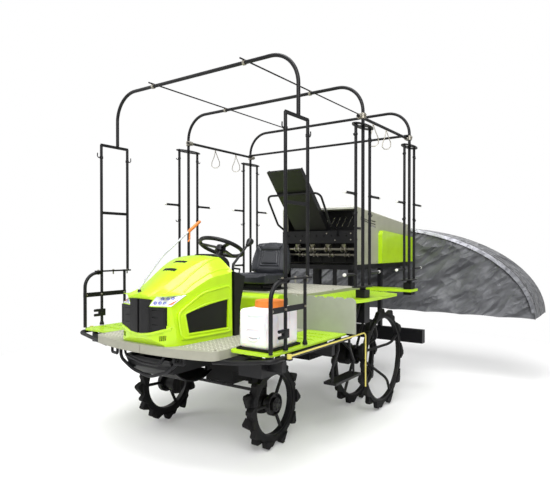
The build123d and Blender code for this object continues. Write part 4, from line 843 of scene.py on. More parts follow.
CAP_GRIPS = 30
CAP_CROWN = ((0.0001, 0.0), (0.070, 0.0), (0.070, 0.0022), (0.062, 0.0030), (0.058, 0.0012), (0.0001, 0.0012))
NECK_COLLAR = ((0.0001, -0.002), (0.098, -0.002), (0.096, 0.003), (0.0001, 0.003))
TANK_PANEL = ((-0.095, 0.885), (0.095, 0.885), (0.095, 1.075), (-0.095, 1.075))
TANK_HANDLE_Z, TANK_HANDLE_R = 0.955, 0.052
TANK_HANDLE_FOOT = ((-0.049, 0.0015, 0.937), (-0.02, 0, 0.932), (0.02, 0, 0.932), (0.049, 0.0015, 0.937))


class DressTank(bpy.types.Operator):
    """Raise the tank's moulded ribs and the cap's finger grips"""

    bl_idname = "broadcaster.dress_tank"
    bl_label = "Dress Tank"

    def execute(self, context):
        cap_low, cap_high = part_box("tank_cap")
        centre = (cap_low + cap_high) / 2
        radius = (cap_high.x - cap_low.x) / 2
        grips = Shape()
        for angle in around(CAP_GRIPS):
            out = Vector((math.cos(angle), math.sin(angle), 0))
            foot = Vector((centre.x, centre.y, cap_low.z + 0.004)) + out * (radius - 0.0014)
            head = Vector((centre.x, centre.y, cap_high.z - 0.007)) + out * (radius - 0.0040)
            grips.tube([foot, foot.lerp(head, 0.5), head], 0.0032, 6)
        grips.lathe(CAP_CROWN, (centre.x, centre.y, cap_high.z), (0, 0, 1), 40)
        grips.build("CapGrips", "orange_cap", "root")
        low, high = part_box("side_tank")
        x, y = (low.x + high.x) / 2, low.y
        ribs = Shape()
        ribs.tube(arc((x, y + 0.0015, TANK_HANDLE_Z), TANK_HANDLE_R, 200, 340, 14), 0.0075, 10)
        ribs.tube([(x + across, y + out, z) for across, out, z in TANK_HANDLE_FOOT], 0.0075, 10)
        for (ax, az), (bx, bz) in zip(TANK_PANEL, TANK_PANEL[1:] + TANK_PANEL[:1]):
            ribs.tube([
                (x + ax, y + 0.0012, az), (x + (ax + bx) / 2, y + 0.0004, (az + bz) / 2), (x + bx, y + 0.0012, bz),
            ], 0.0028, 8)
        ribs.lathe(NECK_COLLAR, (centre.x, centre.y, cap_low.z - 0.004), (0, 0, 1), 36)
        ribs.build("TankRibs", "white_tank", "root")
        return {"FINISHED"}


# Overhead frame and racks

HOOP_X, HOOP_YS, COUPLING_Z = 1.0, (-0.810, 0.235), 2.600
ROD_X, ROD_YS, ROD_Z = 0.49, (-1.73, -0.81, 0.235), 2.872
LOOPS = ((-0.974, -0.42, 1.0), (-0.974, -0.07, 1.0), (0.974, -0.55, 1.0), (0.974, -0.27, 0.9))
LOOP_TOP, LOOP_R = 2.587, 0.0042
LOOP_OUTLINE = (
    (0.0, 0.0), (0.004, -0.03), (0.020, -0.075), (0.043, -0.125), (0.046, -0.165), (0.022, -0.190), (-0.020, -0.192),
    (-0.046, -0.168), (-0.042, -0.128), (-0.018, -0.075), (-0.005, -0.03), (0.0, 0.0),
)
RACK_TUBE_OUT, TUBE_R = 0.130, 0.013
PEG_ZS = (1.305, 1.950)
PEG_CAP = ((0.0111, 0.183), (0.0128, 0.1835), (0.0128, 0.197), (0.0112, 0.2004), (0.0001, 0.2006))
RACK_HOOKS = ((1.80, 1.0), (2.43, 0.8))
RACK_BOLT_ZS = (1.2032, 2.5202)
FRONT_X = 0.968
FRONT_TOP_BOLTS, FRONT_SIDE_BOLTS = (-1.93, -1.775, -1.625), (-2.05, -1.90, -1.66)
FRONT_HOOKS = ((-1.895, -1), (-1.62, 1))
FRONT_HOOK_LINE = ((0.010, 2.30), (0.030, 2.296), (0.040, 2.31), (0.038, 2.335))
CLAMP_KNOB = ((0.0001, -0.036), (0.0115, -0.034), (0.0125, 0.0), (0.0115, 0.034), (0.0001, 0.036))
POST_BOOT = ((0.0122, 0.0), (0.019, 0.001), (0.019, 0.012), (0.0122, 0.034))


def collar(inner, outer, half, slope=0.001):
    """Profile of a ring on a tube, with sloped ends."""
    return (inner, -half), (outer, slope - half), (outer, half - slope), (inner, half)


def wire_loop(x, y, top, size):
    """Teardrop of bent wire hanging from a rail."""
    return [
        (x + across * size * 0.8 + 0.004 * math.sin(k), y + across * size * 0.6, top + down * size)
        for k, (across, down) in enumerate(LOOP_OUTLINE)
    ]


class DressRacks(bpy.types.Operator):
    """Add the bright couplings, peg caps, hooks, knobs, bolts and the wire loops to the frame and racks"""

    bl_idname = "broadcaster.dress_racks"
    bl_label = "Dress Racks"

    def execute(self, context):
        self.couplings()
        loops = Shape()
        for x, y, size in LOOPS:
            loops.tube(wire_loop(x, y, LOOP_TOP, size), LOOP_R, 8)
        loops.build("WireLoops", "bright_steel", "root")
        for side, hand in SIDES:
            for part, y in zip(("middle", "rear"), HOOP_YS):
                self.rack(side, hand, part, y)
        self.front_racks()
        return {"FINISHED"}

    def couplings(self):
        """Rings and bolts where the hoops, rails and roof rods meet."""
        fittings = Shape()
        for side, _ in SIDES:
            x, out = side * HOOP_X, (side, 0, 0)
            for y in HOOP_YS:
                fittings.lathe(collar(0.0145, 0.0235, 0.024, 0.002), (x, y, COUPLING_Z), (0, 0, 1), 20)
                fittings.lathe(collar(0.0135, 0.0215, 0.026, 0.002), (x - side * 0.0275, y, COUPLING_Z), (0, 1, 0), 20)
                for z, size in ((COUPLING_Z + 0.006, 0.0075), (COUPLING_Z - 0.008, 0.0055)):
                    fittings.bolt((x + side * 0.0225, y, z), out, size)
            for y in ROD_YS:
                fittings.lathe(collar(0.0145, 0.0195, 0.011), (side * ROD_X, y, ROD_Z), (1, 0, 0), 16)
        fittings.build("FrameCouplings", "bright_steel", "root")

    def rack(self, side, hand, part, y):
        """Peg caps, hooks and end bolts of one swivelling rack."""
        x = side * HOOP_X
        caps, hooks = Shape(), Shape()
        for end in (-1, 1):
            tube_y = y + end * RACK_TUBE_OUT
            for z in PEG_ZS:
                caps.lathe(PEG_CAP, (x, tube_y, z), (0, end, 0), 16)
            for z, size in RACK_HOOKS:
                reach = 0.034 * size
                bend = (180, 360) if end > 0 else (0, -180)
                middle = (x, tube_y + end * (TUBE_R + reach * 0.55), z - 0.002)
                hooks.lathe(collar(0.0127, 0.0152, 0.009), (x, tube_y, z), (0, 0, 1), 16)
                hooks.tube([(x, tube_y + end * TUBE_R, z)] + arc(middle, reach * 0.5, *bend, 8, "YZ"), 0.0042, 8)
            for z in RACK_BOLT_ZS:
                hooks.bolt((x, tube_y, z - 0.0002), (0, 0, 1), 0.0075)
        caps.build(f"PegCaps_{part}_{hand}", "cap_white", f"tray_rack_{part}_{hand}")
        hooks.build(f"RackHooks_{part}_{hand}", "black_paint", f"tray_rack_{part}_{hand}")

    def front_racks(self):
        """Joint bolts, hooks and clamp knobs of the front racks."""
        trim, knobs = Shape(), Shape()
        for side, _ in SIDES:
            x = side * FRONT_X
            for y in FRONT_TOP_BOLTS:
                trim.bolt((x, y, 1.3182), (0, 0, 1), 0.0085)
                trim.lathe(((0.006, -0.024), (0.006, 0.0)), (x, y, 1.306), (0, 0, 1), 8)
            for y in FRONT_SIDE_BOLTS:
                for out in (side, -side):
                    trim.bolt((x + out * 0.0042, y, 1.115), (out, 0, 0), 0.0085)
            for y, end in FRONT_HOOKS:
                knobs.tube([(x, y + end * reach, z) for reach, z in FRONT_HOOK_LINE], 0.0045, 8)
                knobs.lathe(collar(0.0122, 0.0155, 0.011), (x, y, 2.30), (0, 0, 1), 16)
            knobs.block((x - 0.013, -1.925, 0.925), (x + 0.013, -1.865, 0.985), 0.004)
            for z in (0.935, 0.975):
                knobs.lathe(CLAMP_KNOB, (x, -1.935, z), (0, 1, 0), 12)
            for y in (-1.895, -1.655):
                knobs.lathe(POST_BOOT, (x, y, 0.846), (0, 0, 1), 16)
        trim.build("FrontRackBolts", "bright_steel", "root")
        knobs.build("FrontRackClamps", "black_paint", "root")


# Wheels

HUBS = (
    # wheel, axle's place along and up, disc's face, cap's radius
    ("front", -1.5, 0.325, 0.620, 0.052),
    ("rear", -0.12, 0.467, 0.670, 0.058),
)
HUB_PROFILE = ((0.42, 0.0085), (0.5, 0.0045), (0.78, 0.0035), (0.86, 0.0))
HUB_BOLTS = 6


class DressWheels(bpy.types.Operator):
    """Bolt the hubs, and cap the axle ends"""

    bl_idname = "broadcaster.dress_wheels"
    bl_label = "Dress Wheels"

    def execute(self, context):
        for side, hand in SIDES:
            for kind, y, z, x, cap_r in HUBS:
                hub = Shape()
                out = (side, 0, 0)
                profile = [(0.0001, HUB_PROFILE[0][1])] + [(cap_r * share, height) for share, height in HUB_PROFILE]
                hub.lathe(profile, (side * x, y, z), out, 28)
                ring = cap_r * 0.66
                for turn in range(HUB_BOLTS):
                    angle = math.radians(360 / HUB_BOLTS * turn + 12)
                    at = (side * (x + 0.0034), y + ring * math.cos(angle), z + ring * math.sin(angle))
                    hub.bolt(at, out, 0.0062)
                hub.build(f"HubBolts_{kind}_{hand}", "wheel_paint", f"{kind}_wheel_{hand}")
        return {"FINISHED"}


# Seeding unit

ROOF_FRONT_Z, ROOF_REAR_Z = 1.943, 1.800
LIP_STEPS, LIP_DEPTH = 24, 0.060
# Wall thickness, and the thickness of the dark sheets that paint the shade inside the housing
UNIT_WALL, SHADE_SHEET = 0.0125, 0.0035
FEED_RIBS, FEED_RIB_LINE = 6, ((0.219, 1.36), (0.214, 1.50), (0.219, 1.655))
# Dark side sheets that paint the shade inside the housing's walls
SHADE_SHEET_SIDES = (
    # front, low, rear, high
    (0.100, 1.345, 0.220, 1.920), (0.020, 1.345, 0.100, 1.555),
)
BEAM_FACE_Y = -0.0102
BEAM_SCREWS_INNER = ((-0.02, 1.662), (0.20, 1.662), (0.30, 1.590), (-0.12, 1.590))


class DressUnit(bpy.types.Operator):
    """Trim the seeding unit: its pale front lip, dark strips, dark sheets that paint the shade inside it, ribs and
    screws
    """

    bl_idname = "broadcaster.dress_unit"
    bl_label = "Dress Seeding Unit"

    def execute(self, context):
        low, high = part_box("unit_housing")
        self.front_lip(low, high)
        self.dark_strips(low, high)
        self.ribs_and_shade_sheets(low, high)
        self.screws(low, high)
        return {"FINISHED"}

    def front_lip(self, low, high):
        """Pale lip that wraps the roof's front edge."""
        drop = LIP_DEPTH * (ROOF_FRONT_Z - ROOF_REAR_Z) / (high.y - low.y)
        top = high.z - 0.002
        rings = []
        for step in range(LIP_STEPS + 1):
            x = low.x + 0.004 + (high.x - low.x - 0.008) * step / LIP_STEPS
            bow = 0.003 * math.sin(math.pi * step / LIP_STEPS)
            section = (
                (0.002, -0.030), (-0.006, bow - 0.014), (-0.002, 0.001), (0.012, 0.0022),
                (LIP_DEPTH, 0.0018 - drop), (LIP_DEPTH, -0.006 - drop),
            )
            rings.append([Vector((x, low.y + back, top + up)) for back, up in section])
        lip = Shape()
        lip.rings(rings)
        lip.build("HousingFrontLip", "cap_white", "root")

    def dark_strips(self, low, high):
        """Catch plates and slanted strips on the housing's sides."""
        strips = Shape()
        for x, out in ((high.x, 1), (low.x, -1)):
            strips.block(
                (min(x, x + out * 0.003), low.y + 0.03, 1.700), (max(x, x + out * 0.003), low.y + 0.115, 1.724), 0.001
            )
            for z in (1.815, 1.835):
                start = Vector((x + out * 0.0006, low.y + 0.11, z - 0.005))
                end = Vector((x + out * 0.0006, low.y + 0.29, z - 0.035))
                strips.tube([start, start.lerp(end, 0.5), end], 0.0042, 6)
        strips.build("HousingDarkStrips", "black_paint", "root")

    def ribs_and_shade_sheets(self, low, high):
        """Dark sheets round the feed gear, which paint the shade inside the housing, and ribs."""
        inner_low, inner_high = low.x + UNIT_WALL, high.x - UNIT_WALL
        ribs_and_shade_sheets = Shape()
        # Back and side sheets: dark plastic that paints the shade inside the housing.
        ribs_and_shade_sheets.block((inner_low, 0.222, 1.352), (inner_high, 0.232, 1.664), 0.002)
        for x in (inner_low, inner_high - SHADE_SHEET):
            for front, under, rear, over in SHADE_SHEET_SIDES:
                ribs_and_shade_sheets.block((x, front, under), (x + SHADE_SHEET, rear, over), 0.001)
        for k in range(FEED_RIBS):
            x = inner_low + 0.06 + (inner_high - inner_low - 0.12) * k / (FEED_RIBS - 1)
            ribs_and_shade_sheets.tube([(x, y, z) for y, z in FEED_RIB_LINE], 0.008, 8)
        ribs_and_shade_sheets.build("FeedRibsAndPaintedShade", "dark_plastic", "root")

    def screws(self, low, high):
        """Screws along the housing's sides and on the feed beam."""
        screws = Shape()
        for x, out in ((high.x, 1), (low.x, -1)):
            for y in (low.y + 0.035, low.y + 0.50, low.y + 0.96, high.y - 0.04):
                for z in (1.365, 1.60):
                    if y <= 0.5 or z <= 1.5:
                        screws.bolt((x + out * 0.0002, y, z), (out, 0, 0), 0.006)
        ends = [(x, z) for x in (low.x + 0.045, high.x - 0.045) for z in (1.660, 1.595)]
        for x, z in (*ends, *BEAM_SCREWS_INNER):
            screws.bolt((x, BEAM_FACE_Y, z), (0, -1, 0), 0.0065)
        screws.build("UnitScrews", "bright_steel", "root")


# Driver's place

GRIP_R, GRIP_INSET, GRIP_STEPS = 0.0155, 0.0105, 96
STITCH_R, STITCH_TURNS = GRIP_R + 0.0003, [0.9 * ring - 1.8 for ring in range(5)]
HUB_CAP = ((0.0001, 0.0085), (0.022, 0.0075), (0.033, 0.0035), (0.036, -0.002), (0.034, -0.010))
LEVER_BEND, LEVER_TOP = Vector((0.252, -1.575, 1.385)), Vector((0.252, -1.362, 1.565))
LEVER_FOOT = (0.252, -1.585, 1.281)
LEVER_KNOB = (
    (0.0001, -0.052), (0.014, -0.050), (0.018, -0.034), (0.027, -0.012), (0.030, 0.004), (0.026, 0.019), (0.013, 0.029),
    (0.0001, 0.030),
)
LEVER_SLEEVE = ((0.0105, 0.0), (0.0098, 0.12), (0.0092, 0.215))
LEVER_STEM = (
    (0.252, -1.585, 1.292), (0.252, -1.583, 1.30), (0.252, -1.578, 1.35), (0.252, -1.574, 1.388),
    (0.252, -1.560, 1.398),
)
LEVER_BOOT = (
    (0.0001, 0.0), (0.040, 0.0), (0.036, 0.008), (0.026, 0.012), (0.024, 0.020), (0.018, 0.024), (0.016, 0.034),
    (0.0105, 0.038),
)


class DressCab(bpy.types.Operator):
    """Wrap the steering wheel's rim, cap its hub, and dress the gear lever"""

    bl_idname = "broadcaster.dress_cab"
    bl_label = "Dress Cab"

    def execute(self, context):
        self.steering_grip()
        knob = Shape()
        along = (LEVER_TOP - LEVER_BEND).normalized()
        knob.lathe(LEVER_KNOB, LEVER_TOP, along, 22)
        knob.lathe(LEVER_SLEEVE, LEVER_BEND, along, 12)
        knob.tube(LEVER_STEM, 0.0105, 12)
        knob.lathe(LEVER_BOOT, LEVER_FOOT, (0, 0.06, 1), 20)
        knob.build("LeverKnobAndBoot", "dark_plastic", "root", 50)
        return {"FINISHED"}

    def steering_grip(self):
        """Padded rim with its seams, and the cap on the hub."""
        wheel = next(joint for joint in frame["joints"] if joint["name"] == "steering_wheel_spin")
        axis, centre = Vector(wheel["axis"]).normalized(), Vector(wheel["pos_m"])
        turn = axis.to_track_quat("Z", "Y")
        verts = NODES["steering_wheel"].data.vertices
        heights = [(vert.co - centre).dot(axis) for vert in verts]
        reaches = [(vert.co - centre - axis * height).length for vert, height in zip(verts, heights)]
        rim = max(reaches)
        on_rim = [height for height, reach in zip(heights, reaches) if reach > rim - 0.004]
        level = sum(on_rim) / len(on_rim)

        def circle(radius, height):
            flat = ((radius * math.cos(angle), radius * math.sin(angle)) for angle in around(GRIP_STEPS))
            return [centre + turn @ Vector((x, y, height)) for x, y in flat]

        grip = Shape()
        grip.tube(circle(rim - GRIP_INSET, level), GRIP_R, 14, loop=True)
        for a in STITCH_TURNS:
            stitch = circle(rim - GRIP_INSET + STITCH_R * math.cos(a), level + STITCH_R * math.sin(a))
            grip.tube(stitch, 0.0012, 6, loop=True)
        top = max(height for height, reach in zip(heights, reaches) if reach < 0.05)
        grip.lathe(HUB_CAP, centre + axis * top, axis, 28)
        grip.build("SteeringGrip", "dark_plastic", "steering_wheel", 50)


# Soft parts

PAD_GRID, PAD_VOXEL, PAD_CAP = 22, 0.006, 0.008
PUFF_FRAMES, PUFF_PRESSURE, PUFF_QUALITY = 20, 4.0, 4


def padded_form(name, plan):
    """Closed pad skin over a cube's grid: plan maps a, b and c, each from -1 to 1, to a place."""
    work = bmesh.new()
    bmesh.ops.create_cube(work, size=2.0)
    bmesh.ops.subdivide_edges(work, edges=work.edges[:], cuts=PAD_GRID, use_grid_fill=True)
    for vert in work.verts:
        vert.co = plan(*vert.co)
    mesh = bpy.data.meshes.new(name)
    work.to_mesh(mesh)
    work.free()
    piece = bpy.data.objects.new(name, mesh)
    bpy.context.scene.collection.objects.link(piece)
    return piece


def puff(piece):
    """Remesh a pad and blow it up as cloth, no point moving further than the cap."""
    remesh = piece.modifiers.new("Remesh", "REMESH")
    remesh.mode = "VOXEL"
    remesh.voxel_size = PAD_VOXEL
    piece.data = evaluated_copy(piece)
    piece.modifiers.clear()
    start = [vert.co.copy() for vert in piece.data.vertices]
    cloth = piece.modifiers.new("Pad", "CLOTH")
    cloth.settings.use_pressure = True
    cloth.settings.uniform_pressure_force = PUFF_PRESSURE
    cloth.settings.effector_weights.gravity = 0.0
    cloth.settings.quality = PUFF_QUALITY
    cloth.point_cache.frame_start = 1
    cloth.point_cache.frame_end = PUFF_FRAMES
    for step in range(1, PUFF_FRAMES + 1):
        bpy.context.scene.frame_set(step)
    piece.data = evaluated_copy(piece)
    piece.modifiers.clear()
    bpy.context.scene.frame_set(1)
    for vert, before in zip(piece.data.vertices, start):
        moved = vert.co - before
        if moved.length > PAD_CAP:
            vert.co = before + moved.normalized() * PAD_CAP


def groove(mesh, lines, facing, width, depth):
    """Press sewn channels into the side of a pad that looks the given way: each line is a run of places."""
    normals = [vert.normal.copy() for vert in mesh.vertices]
    for vert, normal in zip(mesh.vertices, normals):
        if normal.dot(facing) < 0.35:
            continue
        press = 0.0
        for line in lines:
            for start, end in zip(line, line[1:]):
                run = end - start
                share = max(0.0, min(1.0, (vert.co - start).dot(run) / run.length_squared))
                away = start + run * share - vert.co
                away -= normal * away.dot(normal)
                press = max(press, math.exp(-((away.length / width) ** 2)))
        vert.co -= normal * press * depth


SEAT_HALF = 0.208
CUSHION_FRONT, CUSHION_REAR = -1.092, -0.668
CUSHION_LOW, CUSHION_HIGH = 1.188, 1.276
BACK_FOOT, BACK_HEAD = Vector((0.0, -0.742, 1.258)), Vector((0.0, -0.662, 1.568))
BACK_UP = (BACK_HEAD - BACK_FOOT).normalized()
BACK_FORWARD = Vector((0, -BACK_UP.z, BACK_UP.y))
BACK_THICK = 0.043


def bolstered(a, start, rise, hollow):
    """Height of a pad's side bolsters over its hollow middle."""
    return rise * max(0.0, abs(a) - start) / (1 - start) - hollow * (1 - a * a)


def cushion_plan(a, b, c):
    """Seat cushion: rounded plan, a raised front roll and side bolsters."""
    x = a * math.sqrt(1 - 0.17 * b * b) * SEAT_HALF * (1 - 0.05 * max(0.0, b))
    y = (CUSHION_FRONT + CUSHION_REAR) / 2 + b * math.sqrt(1 - 0.20 * a * a) * (CUSHION_REAR - CUSHION_FRONT) / 2
    middle = (CUSHION_LOW + CUSHION_HIGH) / 2
    half = (CUSHION_HIGH - CUSHION_LOW) / 2 * (0.70 + 0.30 * (1 - a ** 4) * (1 - b ** 4))
    z = middle + c * half
    if c > 0:
        z += c * (bolstered(a, 0.55, 0.013, 0.010) + 0.008 * math.exp(-((b + 0.72) / 0.22) ** 2))
    return Vector((x, y, z))


def back_plan(a, b, c):
    """Seat back: narrower at the head, hollowed between its bolsters."""
    share = (b * math.sqrt(1 - 0.22 * a * a) + 1) / 2
    width = SEAT_HALF * (1.06 - 0.27 * share ** 1.8)
    thick = BACK_THICK * (0.66 + 0.34 * (1 - a ** 4) * (1 - b ** 4))
    lift = c * thick
    if c > 0:
        lift += c * (bolstered(a, 0.5, 0.020, 0.009) + 0.010 * math.exp(-((b - 0.72) / 0.25) ** 2))
    at = BACK_FOOT.lerp(BACK_HEAD, share) + BACK_FORWARD * lift
    return Vector((a * math.sqrt(1 - 0.18 * b * b) * width, at.y, at.z))


CHANNEL, STITCH = (0.0070, 0.0095), (0.0016, 0.0020)
CUSHION_SEAMS = (
    (
        (-0.56, 0.92), (-0.56, 0.0), (-0.52, -0.55), (-0.30, -0.62),
        (0.30, -0.62), (0.52, -0.55), (0.56, 0.0), (0.56, 0.92),
    ),
    ((-0.54, 0.20), (0.0, 0.17), (0.54, 0.20)),
    ((-0.16, 0.18), (-0.14, -0.60)),
    ((0.16, 0.18), (0.14, -0.60)),
)
BACK_SEAMS = (
    ((-0.60, -0.92), (-0.58, 0.44), (-0.82, 0.76)),
    ((0.60, -0.92), (0.58, 0.44), (0.82, 0.76)),
    ((-0.58, 0.44), (0.58, 0.44)),
    ((-0.42, 0.42), (-0.44, -0.40), (0.44, -0.40), (0.42, 0.42)),
    ((-0.50, -0.54), (0.50, -0.54)),
)
PADS = (
    # name, plan, seams, the way its front looks, widths and depths pressed
    ("CushionPad", cushion_plan, CUSHION_SEAMS, Vector((0, 0, 1)), (CHANNEL,)),
    ("BackrestPad", back_plan, BACK_SEAMS, BACK_FORWARD, (CHANNEL, STITCH)),
)
PAN_ACROSS = (-1, -0.7, -0.2, 0.2, 0.7, 1)
PAN_SECTION = (
    # share of the seat's half width, places along and up
    (0.80, -1.060, 1.1815), (0.88, -0.85, 1.1805), (0.86, -0.69, 1.1815), (0.84, -0.640, 1.215),
    (0.80, -0.632, 1.30), (0.74, -0.616, 1.42), (0.64, -0.604, 1.53), (0.60, -0.612, 1.545), (0.70, -0.628, 1.42),
    (0.76, -0.645, 1.30), (0.80, -0.655, 1.225), (0.84, -0.70, 1.1915), (0.84, -0.85, 1.1895), (0.78, -1.055, 1.1885),
)
RUNNER_X, RUNNER_LINE = 0.10, ((-1.03, 1.168), (-0.86, 1.165), (-0.70, 1.168))


class DressSeat(bpy.types.Operator):
    """Sew the driver's seat, a puffed cushion and back with channels and bolsters, and set it on its pan"""

    bl_idname = "broadcaster.dress_seat"
    bl_label = "Dress Seat"

    def execute(self, context):
        for name, plan, lines, facing, presses in PADS:
            pad = padded_form(name, plan)
            puff(pad)
            seams = [[plan(a, b, 1.0) for a, b in line] for line in lines]
            for width, depth in presses:
                groove(pad.data, seams, facing, width, depth)
            smooth = pad.modifiers.new("Smooth", "SUBSURF")
            smooth.levels = smooth.render_levels = 1
            pad.data = evaluated_copy(pad)
            pad.modifiers.clear()
            pad.data.shade_smooth()
            pad.data.materials.clear()
            pad.data.materials.append(MATERIALS["seat_vinyl"])
            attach(pad, "root")
            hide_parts("driver_seat")
        shell = Shape()
        shell.rings([
            [Vector((a * SEAT_HALF * wide, y, z)) for a in PAN_ACROSS] for wide, y, z in PAN_SECTION
        ], caps=False, loop=True)
        for side, _ in SIDES:
            shell.tube([(side * RUNNER_X, y, z) for y, z in RUNNER_LINE], 0.011, 10)
        shell.build("CushionPan", "dark_plastic", "root", 60)
        return {"FINISHED"}


ARCH_HALF, ARCH_BASE, ARCH_TOP = 1.946, 0.712, 1.788
CLOTH_FRONT, CLOTH_REAR = 1.514, 2.296
CLOTH_COLUMNS, WALL_ROWS, ROOF_ROWS = 240, 40, 20
FRONT_SLACK, REAR_SLACK, TURN_DROP = 0.055, -0.045, 0.012
BAND_STEPS = 160
BAND_SECTION = (
    # place behind the hood's front, height over the arch, share of the puff
    (-0.004, -0.034, 0), (-0.0055, -0.016, 0), (-0.002, 0.002, 1), (0.05, 0.0035, 1), (0.10, 0.0015, 0),
    (0.10, -0.001, 0), (0.05, 0.001, 0), (0.0, -0.001, 0), (-0.003, -0.016, 0), (-0.002, -0.034, 0),
)
PIPING_LINES = ((-0.005, -0.034), (0.10, 0.0015))
BOW_YS = (CLOTH_FRONT + 0.045, (CLOTH_FRONT + CLOTH_REAR) / 2, CLOTH_REAR - 0.040)
BOW_STEPS, BOW_INSET = 60, 0.026
STAY_XS = (-0.30, 0.46)
STAY_LINE = ((1.515, 1.318), (1.60, 1.40), (1.70, ARCH_TOP - 0.060), (2.25, ARCH_TOP - 0.062))


def arch_angle(share):
    """Angle on the hood's half ellipse, from the machine's left to its right."""
    return math.radians(1.0 + 178.0 * share)


def arch_point(share, inset=0.0):
    """Place across and up on the hood's half ellipse."""
    angle = arch_angle(share)
    return (ARCH_HALF - inset) * math.cos(angle), ARCH_BASE + (ARCH_TOP - ARCH_BASE - inset) * math.sin(angle)


def along_band():
    """Place across and up and the outward direction at each step of the top band, whose paleness is painted sheen."""
    for step in range(BAND_STEPS + 1):
        share = 0.02 + 0.96 * step / BAND_STEPS
        angle = arch_angle(share)
        outward = Vector((math.cos(angle) * 0.5, 0.0, math.sin(angle))).normalized()
        yield (*arch_point(share), outward)


def crease(x, z, seed):
    """Crumpled folds of stiff coated cloth: sharp ridges over slack waves, from 0 to 1."""
    place = Vector((x * 1.1 + z * 0.9, z * 1.5 - x * 0.5, seed))
    folds = 0.0
    weight = 1.0
    for _ in range(4):
        ridge = 1.0 - abs(noise.noise(place)) * 2.1
        folds += weight * ridge * ridge
        weight *= 0.52
        place = Vector((place.x * 1.9 + 3.1, place.y * 2.3 - 1.7, place.z + 5.0))
    return folds / 2.0


def slack(up):
    """How far a wall of the hood hangs out, by share of its height."""
    return math.sin(math.pi * min(1.0, 0.06 + up * 0.94)) ** 0.6 if up < 0.97 else 0.15


def hood_run(x, top):
    """One run of the hood's cloth over the arch: up the front wall, back along the roof and down the rear wall."""
    sway = 0.012 * noise.noise(Vector((x * 3.1, 0.3, 0.0)))
    foot = ARCH_BASE + 0.010 + 0.010 * abs(math.sin(x * 7.3 + 1.1)) * (1 if top > 0.80 else 0.2)
    run = []
    for row in range(WALL_ROWS):
        up = row / WALL_ROWS
        z = foot + (top - TURN_DROP - foot) * up
        run.append((CLOTH_FRONT + FRONT_SLACK * slack(up) * crease(x, z, 1.0) + sway * (1 - up) * 0.6, z))
    for row in range(ROOF_ROWS + 1):
        along = row / ROOF_ROWS
        y = CLOTH_FRONT + 0.004 + (CLOTH_REAR - CLOTH_FRONT - 0.008) * along
        sag = 0.010 * math.sin(math.pi * along) * (0.6 + 0.4 * noise.noise(Vector((x * 5.0, along * 2.0, 4.0))))
        run.append((y, top - sag - TURN_DROP * (1 if row in (0, ROOF_ROWS) else 0) * 0.3))
    for row in range(WALL_ROWS, 0, -1):
        up = (row - 1) / WALL_ROWS
        z = foot + (top - TURN_DROP - foot) * up
        run.append((CLOTH_REAR + REAR_SLACK * slack(up) * crease(x, z, 9.0), z))
    return [(x, y, z) for y, z in run]


class DressHoodCloth(bpy.types.Operator):
    """Hang the seeding unit's cloth hood on its bows, with its top band, painted pale as sheen, and piping"""

    bl_idname = "broadcaster.dress_hood_cloth"
    bl_label = "Dress Hood Cloth"

    def execute(self, context):
        cloth = self.cloth()
        trim = self.trim()
        bows = Shape()
        for y in BOW_YS:
            arch = (arch_point(k / BOW_STEPS, BOW_INSET) for k in range(BOW_STEPS + 1))
            bows.tube([(x, y, z) for x, z in arch], 0.009, 10)
        for x in STAY_XS:
            bows.tube([(x, y, z) for y, z in STAY_LINE], 0.011, 10)
        bows.build("HoodBows", "black_paint", "root")
        return {"FINISHED"}

    def cloth(self):
        """The hood's one sheet of cloth."""
        points = []
        for column in range(CLOTH_COLUMNS + 1):
            points += hood_run(*arch_point(column / CLOTH_COLUMNS))
        rows = 2 * WALL_ROWS + ROOF_ROWS + 1
        faces = [
            (c * rows + r, c * rows + r + 1, (c + 1) * rows + r + 1, (c + 1) * rows + r)
            for c in range(CLOTH_COLUMNS) for r in range(rows - 1)
        ]
        mesh = bpy.data.meshes.new("HoodCloth")
        mesh.from_pydata(points, [], faces)
        layer = mesh.uv_layers.new(name="UVMap")
        for loop in mesh.loops:
            x, y, z = points[loop.vertex_index]
            layer.data[loop.index].uv = (x, z + (y - CLOTH_FRONT))
        mesh.shade_smooth()
        cloth = place(bpy.data.objects.new("HoodCloth", mesh), "hood_cloth", "root")
        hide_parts("cloth_hood")
        return cloth

    def trim(self):
        """Band over the front bow, its paleness painted sheen, and dark piping along both of its edges."""
        rings = []
        for step, (x, z, outward) in enumerate(along_band()):
            puffed = 0.0015 * math.sin(step * 1.9)
            rings.append([
                Vector((x, CLOTH_FRONT + back, z)) + outward * (rise + puffed * share)
                for back, rise, share in BAND_SECTION
            ])
        band = Shape()
        band.rings(rings)
        ribbon = band.build("HoodTopBand", "band_cloth", "root", 60)
        piping = Shape()
        for back, lift in PIPING_LINES:
            path = [Vector((x, CLOTH_FRONT + back, z)) + outward * lift for x, z, outward in along_band()]
            piping.tube(path, 0.0032, 6)
        edging = piping.build("HoodPiping", "dark_plastic", "root")
        return [ribbon, edging]


# Stage


class StageSettings(bpy.types.PropertyGroup):
    """Sizes of the studio round the machine."""

    floor_size: bpy.props.FloatProperty(
        name="Floor size", description="Side of the square floor", default=60.0, unit="LENGTH"
    )
    key_power: bpy.props.FloatProperty(
        name="Key lamp", description="Power of the main soft lamp in watts", default=560.0
    )
    world_level: bpy.props.FloatProperty(name="Sky level", description="Strength of the even light", default=0.5)


class SetStage(bpy.types.Operator):
    """Make the pale floor, the soft lamps and the camera at the photograph's place"""

    bl_idname = "broadcaster.set_stage"
    bl_label = "Set Stage"

    def execute(self, context):
        settings = context.scene.broadcaster_stage
        make_camera(context.scene)
        make_floor(settings.floor_size)
        make_lamps(settings.key_power)
        make_world(context.scene, settings.world_level)
        return {"FINISHED"}


CAMERA_PLACE = (2.8614, -4.6687, 1.5257)
CAMERA_YAW = 34.79
CAMERA_PITCH = -0.535
CAMERA_LENS = 33.57
CAMERA_SHIFT = (-0.0113, 0.0025)


